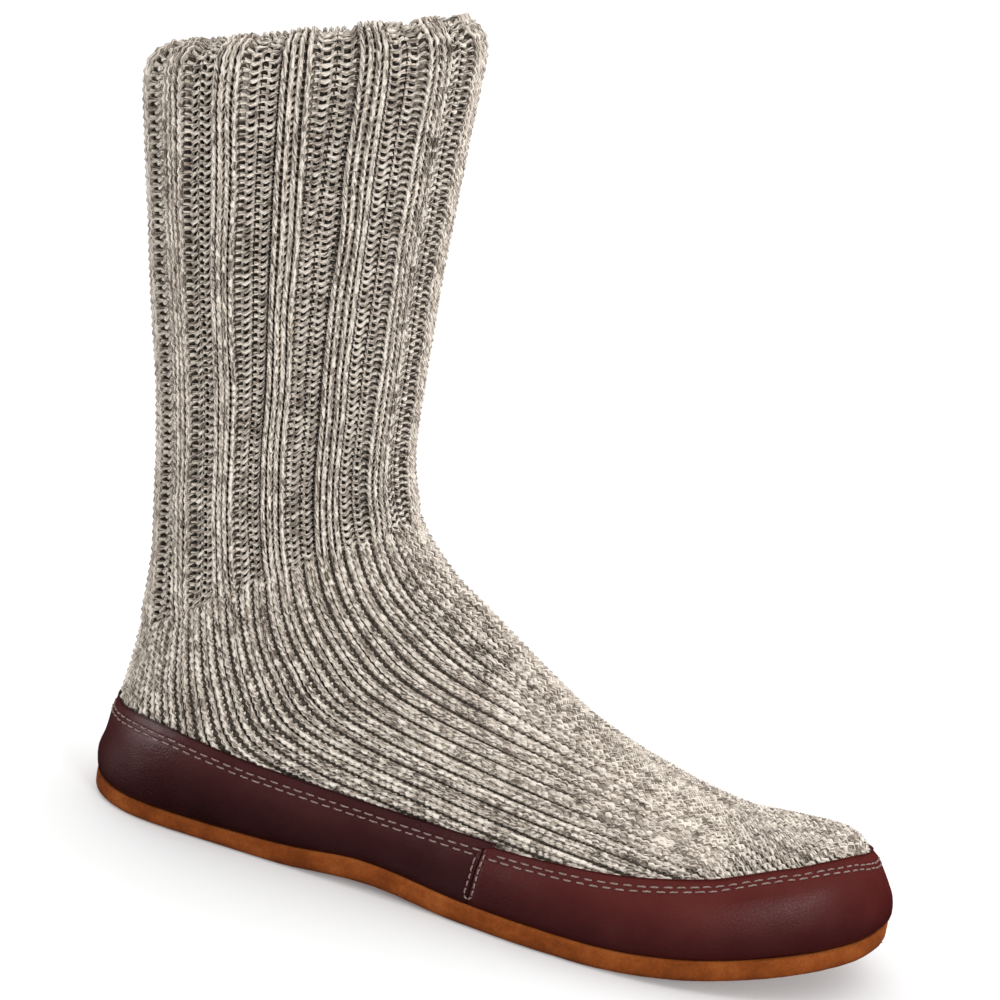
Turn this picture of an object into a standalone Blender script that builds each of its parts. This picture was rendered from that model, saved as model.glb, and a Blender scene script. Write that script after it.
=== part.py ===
"""A slipper sock for the left foot: a knitted leg and foot, a leather rand round the
foot, a suede sole and a footbed.

Metres, +Z up. +X points to the toe and -Y to the inner side of the foot. The origin is
on the floor under the middle of the bounding box. The tables below are in millimetres,
with x measured forward from the back of the heel, and ORIGIN_X moves them to the frame.
"""

import math

import bmesh
import bpy
from mathutils import Vector

MM = 0.001

# ---------------------------------------------------------------- driving dimensions, mm
KNIT_WALL = 2.6          # thickness of the knitted fabric
RAND_WALL = 1.8          # thickness of the leather
FIT_GAP = 0.3            # clearance between touching pieces
SOLE_EDGE_HEEL = 6.2     # height of the sole's edge at the heel
SOLE_EDGE = 8.0          # height of the sole's edge at the waist
SOLE_EDGE_TOE = 7.4      # height of the sole's edge at the toe
SOLE_SHOW = 0.4          # how far the sole stands out past the rand
SOLE_CORNER = 2.6        # radius of the sole's lower edge
SOLE_TOP_CORNER = 1.3    # radius of the sole's upper edge
FOOTBED_THICKNESS = 3.0
FOOTBED_GAP = 1.3        # clearance between the footbed and the knit
HEEL_LIFT = 1.2          # how far the sole lifts at the very back of the heel
HEEL_BACK = -6.0         # x where that lift is whole
ARCH_RISE = 2.6          # how far the sole lifts between heel and ball
TOE_SPRING = 14.0        # how far the sole lifts at the toe
SPRING_CURVE = 1.6       # how gradually the toe spring starts
HEEL_FLAT = (6.0, 78.0)  # x range of the heel's flat spot
HEEL_THIN = (45.0, 110.0)   # x range where the sole grows from its heel to its waist height
BALL_FLAT = (148.0, 190.0)
SOLE_LENGTH = 277.0
SEAM_X = 149.0           # where the two rand pieces meet, at the sole
SEAM_LEAN = 2.0          # how far the seam leans forward at the top
ORIGIN_X = 134.1         # from the back of the heel to the frame's origin
ORIGIN_Y = -1.05

# Sections of the foot form inside the knit, from the rim of the leg to the toe. Each one
# is a closed loop between a front (or top) point and a back (or bottom) point. "middle"
# is the loop's side offset at the front and back point, "half" its half width, "widest"
# the share of the way from the back point to the front point where it is widest, and
# "square" how square the front and back halves are, where 2 is an ellipse.
SECTIONS = [
    # name          front x, z      back x, z       middle f, b  half  widest square f, b
    ("rim",         (88.5, 278.8), (-2.5, 254.8), (0.0, 0.0), 40.5, 0.50, (2.1, 2.1)),
    ("hem",         (94.0, 271.0), (-8.2, 247.0), (0.0, 0.0), 45.0, 0.50, (2.1, 2.1)),
    ("upper leg",   (92.5, 239.5), (-4.0, 218.0), (0.0, 0.0), 42.5, 0.50, (2.1, 2.1)),
    ("middle leg",  (91.0, 199.0), (2.0, 180.0), (0.0, 0.0), 38.5, 0.50, (2.1, 2.1)),
    ("lower leg",   (90.5, 162.0), (8.0, 145.0), (0.0, 0.0), 34.5, 0.50, (2.1, 2.1)),
    ("ankle",       (91.5, 134.0), (11.5, 111.0), (0.0, 0.0), 32.5, 0.50, (2.1, 2.1)),
    ("ankle bend",  (97.0, 115.5), (13.0, 79.0), (-0.5, 0.0), 32.5, 0.50, (2.1, 2.1)),
    ("heel back",   (105.5, 104.5), (10.5, 50.0), (-1.0, 0.0), 34.0, 0.47, (2.1, 2.15)),
    ("heel base",   (116.0, 95.5), (6.5, 24.0), (-1.5, 0.0), 35.0, 0.43, (2.1, 2.2)),
    ("heel under",  (127.0, 89.0), (8.0, -3.0), (-2.0, 0.0), 35.5, 0.40, (2.1, 2.3)),
    ("heel seat",   (139.5, 81.0), (38.0, -9.0), (-3.0, 0.5), 35.5, 0.37, (2.1, 2.6)),
    ("waist",       (154.5, 70.5), (86.0, -8.0), (-4.0, 1.5), 38.0, 0.34, (2.1, 3.0)),
    ("instep",      (170.5, 59.5), (128.0, -8.0), (-4.0, 1.0), 41.5, 0.33, (2.15, 3.0)),
    ("joint back",  (188.5, 50.5), (162.0, -8.0), (-4.0, 0.5), 46.0, 0.33, (2.2, 3.0)),
    ("ball",        (207.0, 43.5), (192.0, -8.0), (-4.5, 0.5), 47.5, 0.35, (2.3, 3.0)),
    ("toe back",    (225.0, 39.5), (218.0, -6.5), (-5.0, -0.5), 45.0, 0.37, (2.5, 3.0)),
    ("toe",         (243.0, 41.0), (241.0, -2.0), (-5.5, -2.0), 37.5, 0.40, (2.7, 3.2)),
    ("toe cap",     (258.0, 43.8), (258.5, 3.0), (-6.5, -4.5), 27.0, 0.43, (2.7, 3.0)),
    ("toe end",     (266.5, 41.5), (271.0, 9.5), (-7.0, -6.5), 15.5, 0.46, (2.4, 2.5)),
    ("toe tip",     (271.5, 33.0), (275.0, 16.5), (-7.5, -7.5), 5.0, 0.50, (2.0, 2.0)),
]
LAST_SECTION = len(SECTIONS) - 1
TOE_POLE = (274.6, -7.5, 24.4)   # where the form closes at the toe
RAND_TOP_HALF_WIDTH = 40.0       # where the table's side heights hold
RAND_FIRST_SECTION = 5           # the rand's forms start above the ankle

# Height of the rand's top edge along the shoe, on its inner and its outer side.
RAND_TOP = [
    # x, inner side z, outer side z
    (-10.0, 34.0, 32.0),
    (30.0, 37.0, 32.5),
    (70.0, 32.5, 32.0),
    (110.0, 30.5, 30.5),
    (150.0, 30.0, 30.0),
    (190.0, 31.0, 29.5),
    (225.0, 35.9, 31.0),
    (250.0, 44.2, 33.0),
    (265.0, 51.0, 33.5),
    (290.0, 57.0, 36.0),
]

# Mesh fineness
RING_POINTS = 44         # points round each section
STEPS_PER_SECTION = 2    # rings in each interval of the section table
RIM_STEPS = 4            # rings round the rim's soft edge
CURVE_STEP = 6.0         # spacing of points along the band's curves, mm
CUTTER_REACH = 80.0      # half width of the cutters, mm
FRONT_END, BACK_END = 300.0, -30.0   # x past the shoe at both ends
SOLE_STEP = 8.0          # spacing of points along the sole's edge, mm
SMALL_STEP = 0.01        # step for slopes of the form, in rows and in radians
HALVINGS = 40            # steps of a search by halving
CORNER_STEPS = 3         # steps round each of the sole's soft edges
FEATHER_SAMPLES = 160    # trial rows along the feather line before they are thinned

SHARP_ANGLE = math.radians(40)

# Colour, roughness and metallic value of each sub-part
LOOKS = {
    "upper": ((0.36, 0.32, 0.28), 0.95, 0.0),
    "rand_heel": ((0.06, 0.013, 0.014), 0.42, 0.0),
    "rand_toe": ((0.06, 0.013, 0.014), 0.42, 0.0),
    "outsole": ((0.30, 0.10, 0.03), 0.95, 0.0),
    "insole": ((0.33, 0.24, 0.16), 0.95, 0.0),
}


# ---------------------------------------------------------------- curves and heights
def spline(values, u):
    """Catmull-Rom value at u, where values are one whole step apart."""
    last = len(values) - 1
    i = min(int(u), last - 1)
    t = u - i
    p1, p2 = values[i], values[i + 1]
    p0 = values[i - 1] if i > 0 else 2 * p1 - p2
    p3 = values[i + 2] if i + 2 <= last else 2 * p2 - p1
    return 0.5 * (2 * p1 + (p2 - p0) * t + (2 * p0 - 5 * p1 + 4 * p2 - p3) * t * t
                  + (3 * p1 - p0 - 3 * p2 + p3) * t * t * t)


def smooth_step(t):
    t = min(max(t, 0.0), 1.0)
    return t * t * (3 - 2 * t)


def rand_top(x, y):
    """Height of the rand's top edge, level across the shoe or lower on the outer side."""
    heights = []
    for side in (1, 2):
        values = [row[side] for row in RAND_TOP]
        u = 0.0
        for i in range(len(RAND_TOP) - 1):
            start, end = RAND_TOP[i][0], RAND_TOP[i + 1][0]
            u += min(max((x - start) / (end - start), 0.0), 1.0)
        heights.append(spline(values, u))
    share = 0.5 + 0.5 * y / RAND_TOP_HALF_WIDTH
    return heights[0] + (heights[1] - heights[0]) * share


def sole_bottom(x):
    """Underside of the sole: flat at heel and ball, lifted at the arch and the toe."""
    if x < HEEL_FLAT[0]:
        return HEEL_LIFT * (1 - smooth_step((x - HEEL_BACK) / (HEEL_FLAT[0] - HEEL_BACK)))
    if x < HEEL_FLAT[1]:
        return 0.0
    if x < BALL_FLAT[0]:
        share = (x - HEEL_FLAT[1]) / (BALL_FLAT[0] - HEEL_FLAT[1])
        return ARCH_RISE * math.sin(math.pi * share) ** 2
    if x < BALL_FLAT[1]:
        return 0.0
    return TOE_SPRING * ((x - BALL_FLAT[1]) / (SOLE_LENGTH - BALL_FLAT[1])) ** SPRING_CURVE


def sole_top(x):
    at_waist = smooth_step((x - HEEL_THIN[0]) / (HEEL_THIN[1] - HEEL_THIN[0]))
    at_toe = smooth_step((x - HEEL_FLAT[1]) / (BALL_FLAT[1] - HEEL_FLAT[1]))
    height = SOLE_EDGE_HEEL + (SOLE_EDGE - SOLE_EDGE_HEEL) * at_waist
    return sole_bottom(x) + height + (SOLE_EDGE_TOE - SOLE_EDGE) * at_toe


# ---------------------------------------------------------------- the foot form
def section_at(u):
    """Front point, back point, half width, widest share and front and back squareness
    of the section at u, counted in rows of SECTIONS."""
    def column(read):
        return spline([read(row) for row in SECTIONS], u)

    front = Vector((column(lambda row: row[1][0]), column(lambda row: row[3][0]),
                    column(lambda row: row[1][1])))
    back = Vector((column(lambda row: row[2][0]), column(lambda row: row[3][1]),
                   column(lambda row: row[2][1])))
    return (front, back, column(lambda row: row[4]), column(lambda row: row[5]),
            column(lambda row: row[6][0]), column(lambda row: row[6][1]))


def bare_point(u, angle):
    """Point of the foot form, where angle 0 is front or top and pi is back or bottom."""
    front, back, half, widest, square_front, square_back = section_at(u)
    c, s = math.cos(angle), math.sin(angle)
    square = square_front if c >= 0 else square_back
    reach = abs(c) ** (2 / square)
    along = widest + (1 - widest) * reach if c >= 0 else widest * (1 - reach)
    side = math.copysign(abs(s) ** (2 / square), s)
    return back.lerp(front, along) + Vector((0, half * side, 0))


def form_point(u, angle, offset):
    """Point of the form grown outward by offset."""
    before, after = max(u - SMALL_STEP, 0.0), min(u + SMALL_STEP, LAST_SECTION)
    along = bare_point(after, angle) - bare_point(before, angle)
    around = bare_point(u, angle + SMALL_STEP) - bare_point(u, angle - SMALL_STEP)
    return bare_point(u, angle) + along.cross(around).normalized() * offset


def crossing(low, high, inside):
    """Where inside(value) turns from true to false between low and high."""
    for _ in range(HALVINGS):
        middle = (low + high) / 2
        if inside(middle):
            low = middle
        else:
            high = middle
    return (low + high) / 2


def feather_line(offset):
    """Rows (inner point, outer point) where the grown form meets the top of the sole,
    from the heel to the toe. The first and the last row are one point each, at the back
    of the heel and the front of the toe."""
    def above(u, angle):
        p = form_point(u, angle, offset)
        return p.z > sole_top(p.x)

    names = [row[0] for row in SECTIONS]
    heel_u = crossing(names.index("ankle"), names.index("waist"), lambda u: above(u, math.pi))
    toe_u = crossing(LAST_SECTION, names.index("ball"), lambda u: above(u, math.pi))
    rows = [(form_point(heel_u, math.pi, offset),) * 2]
    for i in range(1, FEATHER_SAMPLES):
        u = heel_u + (toe_u - heel_u) * ease_in_out(i / FEATHER_SAMPLES)
        angle = crossing(math.pi / 2, math.pi, lambda a: above(u, a))
        rows.append((form_point(u, -angle, offset), form_point(u, angle, offset)))
    rows.append((form_point(toe_u, math.pi, offset),) * 2)
    return thinned(rows)


def ease_in_out(t):
    """0 to 1 with small steps near both ends."""
    return 4 * t ** 3 if t < 0.5 else 1 - 4 * (1 - t) ** 3


def thinned(rows):
    """The first and last row, and others about SOLE_STEP apart along the inner side."""
    lengths = [0.0]
    for before, after in zip(rows, rows[1:]):
        lengths.append(lengths[-1] + (after[0] - before[0]).length)
    count = round(lengths[-1] / SOLE_STEP)
    kept = [rows[0]]
    for i in range(1, count):
        target = lengths[-1] * i / count
        nearest = min(range(len(rows)), key=lambda k: abs(lengths[k] - target))
        kept.append(rows[nearest])
    return kept + [rows[-1]]


# ---------------------------------------------------------------- mesh building
def to_frame(p):
    return Vector(((p.x - ORIGIN_X) * MM, (p.y - ORIGIN_Y) * MM, p.z * MM))


def material(name):
    colour, roughness, metallic = LOOKS[name]
    made = bpy.data.materials.new(name)
    made.use_nodes = True
    shader = made.node_tree.nodes["Principled BSDF"]
    shader.inputs["Base Color"].default_value = (*colour, 1)
    shader.inputs["Roughness"].default_value = roughness
    shader.inputs["Metallic"].default_value = metallic
    return made


def new_object(name, points, faces):
    mesh = bpy.data.meshes.new(name)
    mesh.from_pydata([to_frame(p) for p in points], [], faces)
    bm = bmesh.new()
    bm.from_mesh(mesh)
    bmesh.ops.recalc_face_normals(bm, faces=bm.faces)
    bm.to_mesh(mesh)
    bm.free()
    mesh.shade_smooth()
    mesh.set_sharp_from_angle(angle=SHARP_ANGLE)
    made = bpy.data.objects.new(name, mesh)
    bpy.context.scene.collection.objects.link(made)
    if name in LOOKS:
        mesh.materials.append(material(name))
    return made


def bridge_rings(rings):
    """Quads between rings of the same number of points."""
    count = len(rings[0])
    faces = []
    for i in range(len(rings) - 1):
        for j in range(count):
            k = (j + 1) % count
            faces.append((i * count + j, i * count + k, (i + 1) * count + k, (i + 1) * count + j))
    return faces


def shell(name, first_section, outer, inner):
    """A cup open at first_section and closed at the toe, between two grown forms."""
    steps = (LAST_SECTION - first_section) * STEPS_PER_SECTION
    angles = [2 * math.pi * (j + 0.5) / RING_POINTS for j in range(RING_POINTS)]
    middle, reach = (outer + inner) / 2, (outer - inner) / 2
    front, back = section_at(first_section)[0:2]
    f2, b2 = section_at(first_section + 1)[0:2]
    upward = ((front + back) - (f2 + b2)).normalized()

    def ring(u, offset, lift=0.0):
        return [form_point(u, a, offset) + upward * lift for a in angles]

    us = [LAST_SECTION - i / STEPS_PER_SECTION for i in range(steps + 1)]
    rings = [ring(u, outer) for u in us]
    for i in range(1, RIM_STEPS):
        turn = math.pi * i / RIM_STEPS
        rings.append(ring(first_section, middle + reach * math.cos(turn), reach * math.sin(turn)))
    rings += [ring(u, inner) for u in reversed(us)]
    points = [p for one in rings for p in one]
    faces = bridge_rings(rings)
    pole = Vector(TOE_POLE)
    count = RING_POINTS
    start = len(points) - count
    points += [pole + Vector((outer, 0, 0)), pole + Vector((inner, 0, 0))]
    for j in range(count):
        k = (j + 1) % count
        faces.append((k, j, len(points) - 2))
        faces.append((start + j, start + k, len(points) - 1))
    return new_object(name, points, faces)


def prism(name, outline_at):
    """A cutter wider than the shoe, from its (x, z) outlines at both sides."""
    sides = [[Vector((x, y, z)) for x, z in outline_at(y)] for y in (-CUTTER_REACH, CUTTER_REACH)]
    points = sides[0] + sides[1]
    count = len(sides[0])
    faces = bridge_rings(sides)
    faces += [tuple(range(count)), tuple(range(2 * count - 1, count - 1, -1))]
    made = new_object(name, points, faces)
    made.hide_render = True
    made.display_type = "WIRE"
    return made


def x_steps(start, end):
    steps = max(2, round((end - start) / CURVE_STEP))
    return [start + (end - start) * i / steps for i in range(steps + 1)]


def add_boolean(piece, cutter, operation):
    cut = piece.modifiers.new(cutter.name, "BOOLEAN")
    cut.operation = operation
    cut.object = cutter


# ---------------------------------------------------------------- sub-parts
def make_upper():
    """The knitted leg and foot, open at the rim and underneath."""
    def under_sole(_side):
        top = [(x, sole_top(x) + FIT_GAP) for x in x_steps(BACK_END, FRONT_END)]
        return top + [(FRONT_END, BACK_END), (BACK_END, BACK_END)]

    upper = shell("upper", 0, KNIT_WALL, 0.0)
    add_boolean(upper, prism("under_sole", under_sole), "DIFFERENCE")


def make_rand(name, start, end, lean_start, lean_end):
    """A leather band round the foot from x start to x end, which lean forward by their
    leans at the band's top, between the sole and RAND_TOP."""
    def zone(side):
        low = [(x, sole_top(x) + FIT_GAP) for x in x_steps(start, end)]
        high = [(x, rand_top(x, side)) for x in x_steps(start + lean_start, end + lean_end)]
        return low + high[::-1]

    inner = KNIT_WALL + FIT_GAP
    band = shell(name, RAND_FIRST_SECTION, inner + RAND_WALL, inner)
    add_boolean(band, prism(name + "_zone", zone), "INTERSECT")


def make_outsole():
    """The suede sole, with soft edges, an arch and a toe spring."""
    outer = KNIT_WALL + FIT_GAP + RAND_WALL + SOLE_SHOW
    rows = feather_line(outer)
    line = [row[0] for row in rows] + [row[1] for row in rows[-2:0:-1]]
    rings = []
    for inset, share in edge_profile():
        ring = []
        for p, normal in zip(line, outline_normals(line)):
            q = p - normal * inset
            low, high = sole_bottom(q.x), sole_top(q.x)
            ring.append(Vector((q.x, q.y, low + (high - low) * share)))
        rings.append(ring)
    make_plate("outsole", rings, len(rows))


def make_insole():
    """The footbed that lies on the sole, inside the knit."""
    rows = feather_line(-FOOTBED_GAP)
    line = [row[0] for row in rows] + [row[1] for row in rows[-2:0:-1]]
    heights = (FIT_GAP, FIT_GAP + FOOTBED_THICKNESS)
    rings = [[Vector((p.x, p.y, sole_top(p.x) + h)) for p in line] for h in heights]
    make_plate("insole", rings, len(rows))


def edge_profile():
    """(inset, share of the height) up the sole's edge, with soft corners."""
    turns = [math.pi / 2 * i / CORNER_STEPS for i in range(CORNER_STEPS + 1)]
    profile = []
    for turn in turns:
        rise = SOLE_CORNER * (1 - math.cos(turn))
        profile.append((SOLE_CORNER * (1 - math.sin(turn)), rise / SOLE_EDGE))
    for turn in reversed(turns):
        drop = SOLE_TOP_CORNER * (1 - math.cos(turn))
        profile.append((SOLE_TOP_CORNER * (1 - math.sin(turn)), 1 - drop / SOLE_EDGE))
    return profile


def outline_normals(line):
    """Level outward normals of a closed outline."""
    normals = []
    for i in range(len(line)):
        along = line[(i + 1) % len(line)] - line[i - 1]
        normals.append(Vector((along.y, -along.x, 0)).normalized())
    return normals


def make_plate(name, rings, row_count):
    """A plate from rings that run heel, inner side, toe, outer side, with its faces
    crossed by strips from side to side."""
    points = [p for ring in rings for p in ring]
    faces = bridge_rings(rings)
    count = len(rings[0])
    for start, flip in ((0, False), (len(points) - count, True)):
        for i in range(row_count - 1):
            outer_now = start + (count - i) % count
            outer_next = start + (count - i - 1) % count
            corners = [start + i, start + i + 1, outer_next, outer_now]
            face = list(dict.fromkeys(corners))
            faces.append(tuple(face[::-1] if flip else face))
    return new_object(name, points, faces)


def main():
    for old in list(bpy.data.objects):
        bpy.data.objects.remove(old)
    make_upper()
    make_rand("rand_heel", BACK_END, SEAM_X, 0.0, SEAM_LEAN)
    make_rand("rand_toe", SEAM_X + FIT_GAP, FRONT_END, SEAM_LEAN, 0.0)
    make_outsole()
    make_insole()


main()
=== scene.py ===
"""Looks of the slipper sock: a ribbed wool leg and a plain knitted foot made of yarn, a
stitched leather rand, a suede sole and a footbed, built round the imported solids.

Lengths are in millimetres in the shoe's own measure, with x forward from the back of the
heel, until to_frame() turns them to metres in the frame.
"""

import math

import bmesh
import bpy
import numpy as np
from mathutils import Matrix, Vector
from mathutils.bvhtree import BVHTree


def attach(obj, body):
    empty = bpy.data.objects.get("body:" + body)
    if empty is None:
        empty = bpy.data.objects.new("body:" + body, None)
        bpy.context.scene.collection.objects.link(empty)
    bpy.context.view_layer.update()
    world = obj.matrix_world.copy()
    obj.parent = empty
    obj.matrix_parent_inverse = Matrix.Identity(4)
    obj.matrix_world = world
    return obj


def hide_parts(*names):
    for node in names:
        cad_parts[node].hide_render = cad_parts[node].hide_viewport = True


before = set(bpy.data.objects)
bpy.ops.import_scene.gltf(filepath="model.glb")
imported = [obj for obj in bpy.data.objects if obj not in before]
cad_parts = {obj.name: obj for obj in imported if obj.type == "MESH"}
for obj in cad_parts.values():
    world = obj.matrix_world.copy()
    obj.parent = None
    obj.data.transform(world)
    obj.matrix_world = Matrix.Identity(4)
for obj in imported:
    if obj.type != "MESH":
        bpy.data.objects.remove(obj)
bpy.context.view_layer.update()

MM = 0.001
ORIGIN_X = 134.1          # from the back of the heel to the frame's origin
ORIGIN_Y = -1.05

# ---------------------------------------------------------------- the foot form
KNIT_WALL = 2.6

# Sections of the foot form inside the knit, from the rim of the leg to the toe, as in the
# solids' own source. Each one is a closed loop between a front (or top) point and a back
# (or bottom) point.
SECTIONS = [
    # front x, z      back x, z       middle f, b  half  widest square f, b
    ((88.5, 278.8), (-2.5, 254.8), (0.0, 0.0), 40.5, 0.50, (2.1, 2.1)),
    ((94.0, 271.0), (-8.2, 247.0), (0.0, 0.0), 45.0, 0.50, (2.1, 2.1)),
    ((92.5, 239.5), (-4.0, 218.0), (0.0, 0.0), 42.5, 0.50, (2.1, 2.1)),
    ((91.0, 199.0), (2.0, 180.0), (0.0, 0.0), 38.5, 0.50, (2.1, 2.1)),
    ((90.5, 162.0), (8.0, 145.0), (0.0, 0.0), 34.5, 0.50, (2.1, 2.1)),
    ((91.5, 134.0), (11.5, 111.0), (0.0, 0.0), 32.5, 0.50, (2.1, 2.1)),
    ((97.0, 115.5), (13.0, 79.0), (-0.5, 0.0), 32.5, 0.50, (2.1, 2.1)),
    ((105.5, 104.5), (10.5, 50.0), (-1.0, 0.0), 34.0, 0.47, (2.1, 2.15)),
    ((116.0, 95.5), (6.5, 24.0), (-1.5, 0.0), 35.0, 0.43, (2.1, 2.2)),
    ((127.0, 89.0), (8.0, -3.0), (-2.0, 0.0), 35.5, 0.40, (2.1, 2.3)),
    ((139.5, 81.0), (38.0, -9.0), (-3.0, 0.5), 35.5, 0.37, (2.1, 2.6)),
    ((154.5, 70.5), (86.0, -8.0), (-4.0, 1.5), 38.0, 0.34, (2.1, 3.0)),
    ((170.5, 59.5), (128.0, -8.0), (-4.0, 1.0), 41.5, 0.33, (2.15, 3.0)),
    ((188.5, 50.5), (162.0, -8.0), (-4.0, 0.5), 46.0, 0.33, (2.2, 3.0)),
    ((207.0, 43.5), (192.0, -8.0), (-4.5, 0.5), 47.5, 0.35, (2.3, 3.0)),
    ((225.0, 39.5), (218.0, -6.5), (-5.0, -0.5), 45.0, 0.37, (2.5, 3.0)),
    ((243.0, 41.0), (241.0, -2.0), (-5.5, -2.0), 37.5, 0.40, (2.7, 3.2)),
    ((258.0, 43.8), (258.5, 3.0), (-6.5, -4.5), 27.0, 0.43, (2.7, 3.0)),
    ((266.5, 41.5), (271.0, 9.5), (-7.0, -6.5), 15.5, 0.46, (2.4, 2.5)),
    ((271.5, 33.0), (275.0, 16.5), (-7.5, -7.5), 5.0, 0.50, (2.0, 2.0)),
]
LAST_SECTION = len(SECTIONS) - 1
ROWS_PER_SECTION = 24     # rows of the form's table in each interval of SECTIONS
FORM_ANGLES = 720
SMALL_STEP = 0.01         # for slopes of the form, in sections and in radians

# ---------------------------------------------------------------- the knitting
REPEATS = 14              # ribs round the leg
WALES = REPEATS * 4       # two knit and two purl wales in each repeat
KNIT_SHARE = 0.45         # of a repeat that the two knit wales take in the leg
COURSE = 2.4              # height of one course in the foot, mm
LEG_COURSES = 72
HEM_COURSES = 11          # courses turned to the inside at the rim
LAST_COURSE = 175
GRID_PER_COURSE = 3       # rows of the fabric's table for one course
GRID_PER_WALE = 12
HEM_MIDDLE = 0.15         # middle of the turned hem, above the form
YARN_HEIGHT = 1.75        # of the yarn's middle above the form
YARN_RADIUS = 0.68
LEG_SWELL = 0.36          # how much fuller the yarn is in the legs of the foot's loops
RIB_SWELL = 0.18          # the same in the ribs
ARC_SWELL = 0.14          # how much fuller it is in the arcs of purl loops
FULL_WALE = 4.6           # wale narrower than this has thinner yarn in proportion, mm
THINNEST = 0.58           # but not less than this share
RIM_COURSES = math.pi * (YARN_HEIGHT - HEM_MIDDLE) / COURSE
RIB_RELIEF = 1.25         # how far ribs stand out and purl panels lie back, mm
RIB_SLOPE = 0.07          # half the width of a rib's sloping side, as a share of a repeat
RIB_FADE = (-2.5, 1.0)    # courses from the leg's end between which the ribs fade out
SHARE_EASE = 6            # courses each side of the leg's end over which the ribs widen
NEST_PLACE = (-0.6, -1.4)  # how far round the rim the relief turns over, in RIM_COURSES

# Where the purl panels end, in sections of the form, from the front to the back of the leg
PANEL_END = [6.03, 6.05, 6.15, 6.25, 6.45, 6.65, 6.75]

# How the wales wander over the form, by section: "spread" moves them from the front (or
# top) to the back, and "turn" turns them all round the foot. Both are shares of the way
# round.
WALE_SHIFT = [
    # section, spread, turn
    (0.0, 0.0, 0.0),
    (5.6, 0.0, 0.0),
    (7.0, -0.012, 0.002),
    (8.8, -0.036, 0.008),
    (10.0, -0.036, 0.008),
    (13.5, -0.044, 0.030),
    (15.0, -0.044, 0.030),
    (18.0, 0.120, -0.080),
    (19.0, 0.130, -0.100),
]


def columns(rows):
    """The table's columns as one array, one row a section."""
    flat = []
    for front, back, middle, half, widest, square in rows:
        flat.append((front[0], middle[0], front[1], back[0], middle[1], back[1],
                     half, widest, square[0], square[1]))
    return np.array(flat)


def spline(table, u):
    """Catmull-Rom rows of the table at the array u, where table rows are one step apart."""
    last = len(table) - 1
    i = np.clip(u.astype(int), 0, last - 1)
    t = (u - i)[..., None]
    padded = np.vstack([2 * table[0] - table[1], table, 2 * table[-1] - table[-2]])
    p0, p1, p2, p3 = padded[i], padded[i + 1], padded[i + 2], padded[i + 3]
    return 0.5 * (2 * p1 + (p2 - p0) * t + (2 * p0 - 5 * p1 + 4 * p2 - p3) * t * t
                  + (3 * p1 - p0 - 3 * p2 + p3) * t ** 3)


SECTION_TABLE = columns(SECTIONS)


def bare_points(u, angle):
    """Points of the form, where angle 0 is front or top and pi is back or bottom."""
    u, angle = np.broadcast_arrays(u, angle)
    row = spline(SECTION_TABLE, u)
    front, back = row[..., 0:3], row[..., 3:6]
    half, widest = row[..., 6], row[..., 7]
    c, s = np.cos(angle), np.sin(angle)
    square = np.where(c >= 0, row[..., 8], row[..., 9])
    reach = np.abs(c) ** (2 / square)
    along = np.where(c >= 0, widest + (1 - widest) * reach, widest * (1 - reach))
    side = np.copysign(np.abs(s) ** (2 / square), s)
    points = back + (front - back) * along[..., None]
    points[..., 1] += half * side
    return points


def unit(vectors):
    return vectors / np.maximum(np.linalg.norm(vectors, axis=-1, keepdims=True), 1e-12)


def form_points(u, angle):
    """Points of the form and their outward normals."""
    before, after = np.maximum(u - SMALL_STEP, 0.0), np.minimum(u + SMALL_STEP, LAST_SECTION)
    along = bare_points(after, angle) - bare_points(before, angle)
    around = bare_points(u, angle + SMALL_STEP) - bare_points(u, angle - SMALL_STEP)
    return bare_points(u, angle), unit(np.cross(along, around))


def to_frame(points):
    moved = np.array(points, dtype=float)
    moved[..., 0] -= ORIGIN_X
    moved[..., 1] -= ORIGIN_Y
    return moved * MM


# ---------------------------------------------------------------- the sole's line
FIT_GAP = 0.3
RAND_WALL = 1.8
SOLE_SHOW = 0.4
SOLE_EDGE_HEEL = 6.2
SOLE_EDGE = 8.0
SOLE_EDGE_TOE = 7.4
SOLE_CORNER = 2.6
SOLE_TOP_CORNER = 1.3
FOOTBED_THICKNESS = 3.0
FOOTBED_GAP = 1.3
HEEL_LIFT = 1.2
HEEL_BACK = -6.0
ARCH_RISE = 2.6
TOE_SPRING = 14.0
SPRING_CURVE = 1.6
HEEL_FLAT = (6.0, 78.0)
HEEL_THIN = (45.0, 110.0)
BALL_FLAT = (148.0, 190.0)
SOLE_LENGTH = 277.0
SIDE_STATIONS = 330       # stations along each side of the sole's line
LINE_SAMPLES = 500
HALVINGS = 36             # steps of each search by halving
ANKLE, WAIST, BALL = 5, 11, 14    # sections that bracket the ends of the sole's line

# Height of the rand's top edge along the shoe, on its inner and its outer side.
RAND_TOP = np.array([
    # x, inner side z, outer side z
    (-10.0, 34.0, 32.0),
    (30.0, 37.0, 32.5),
    (70.0, 32.5, 32.0),
    (110.0, 30.5, 30.5),
    (150.0, 30.0, 30.0),
    (190.0, 31.0, 29.5),
    (225.0, 35.9, 31.0),
    (250.0, 44.2, 33.0),
    (265.0, 51.0, 33.5),
    (290.0, 57.0, 36.0),
])
RAND_TOP_HALF_WIDTH = 40.0
SEAM_X = 149.0
SEAM_LEAN = 2.0


def smooth_step(low, high, value):
    t = np.clip((value - low) / (high - low), 0, 1)
    return t * t * (3 - 2 * t)


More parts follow.
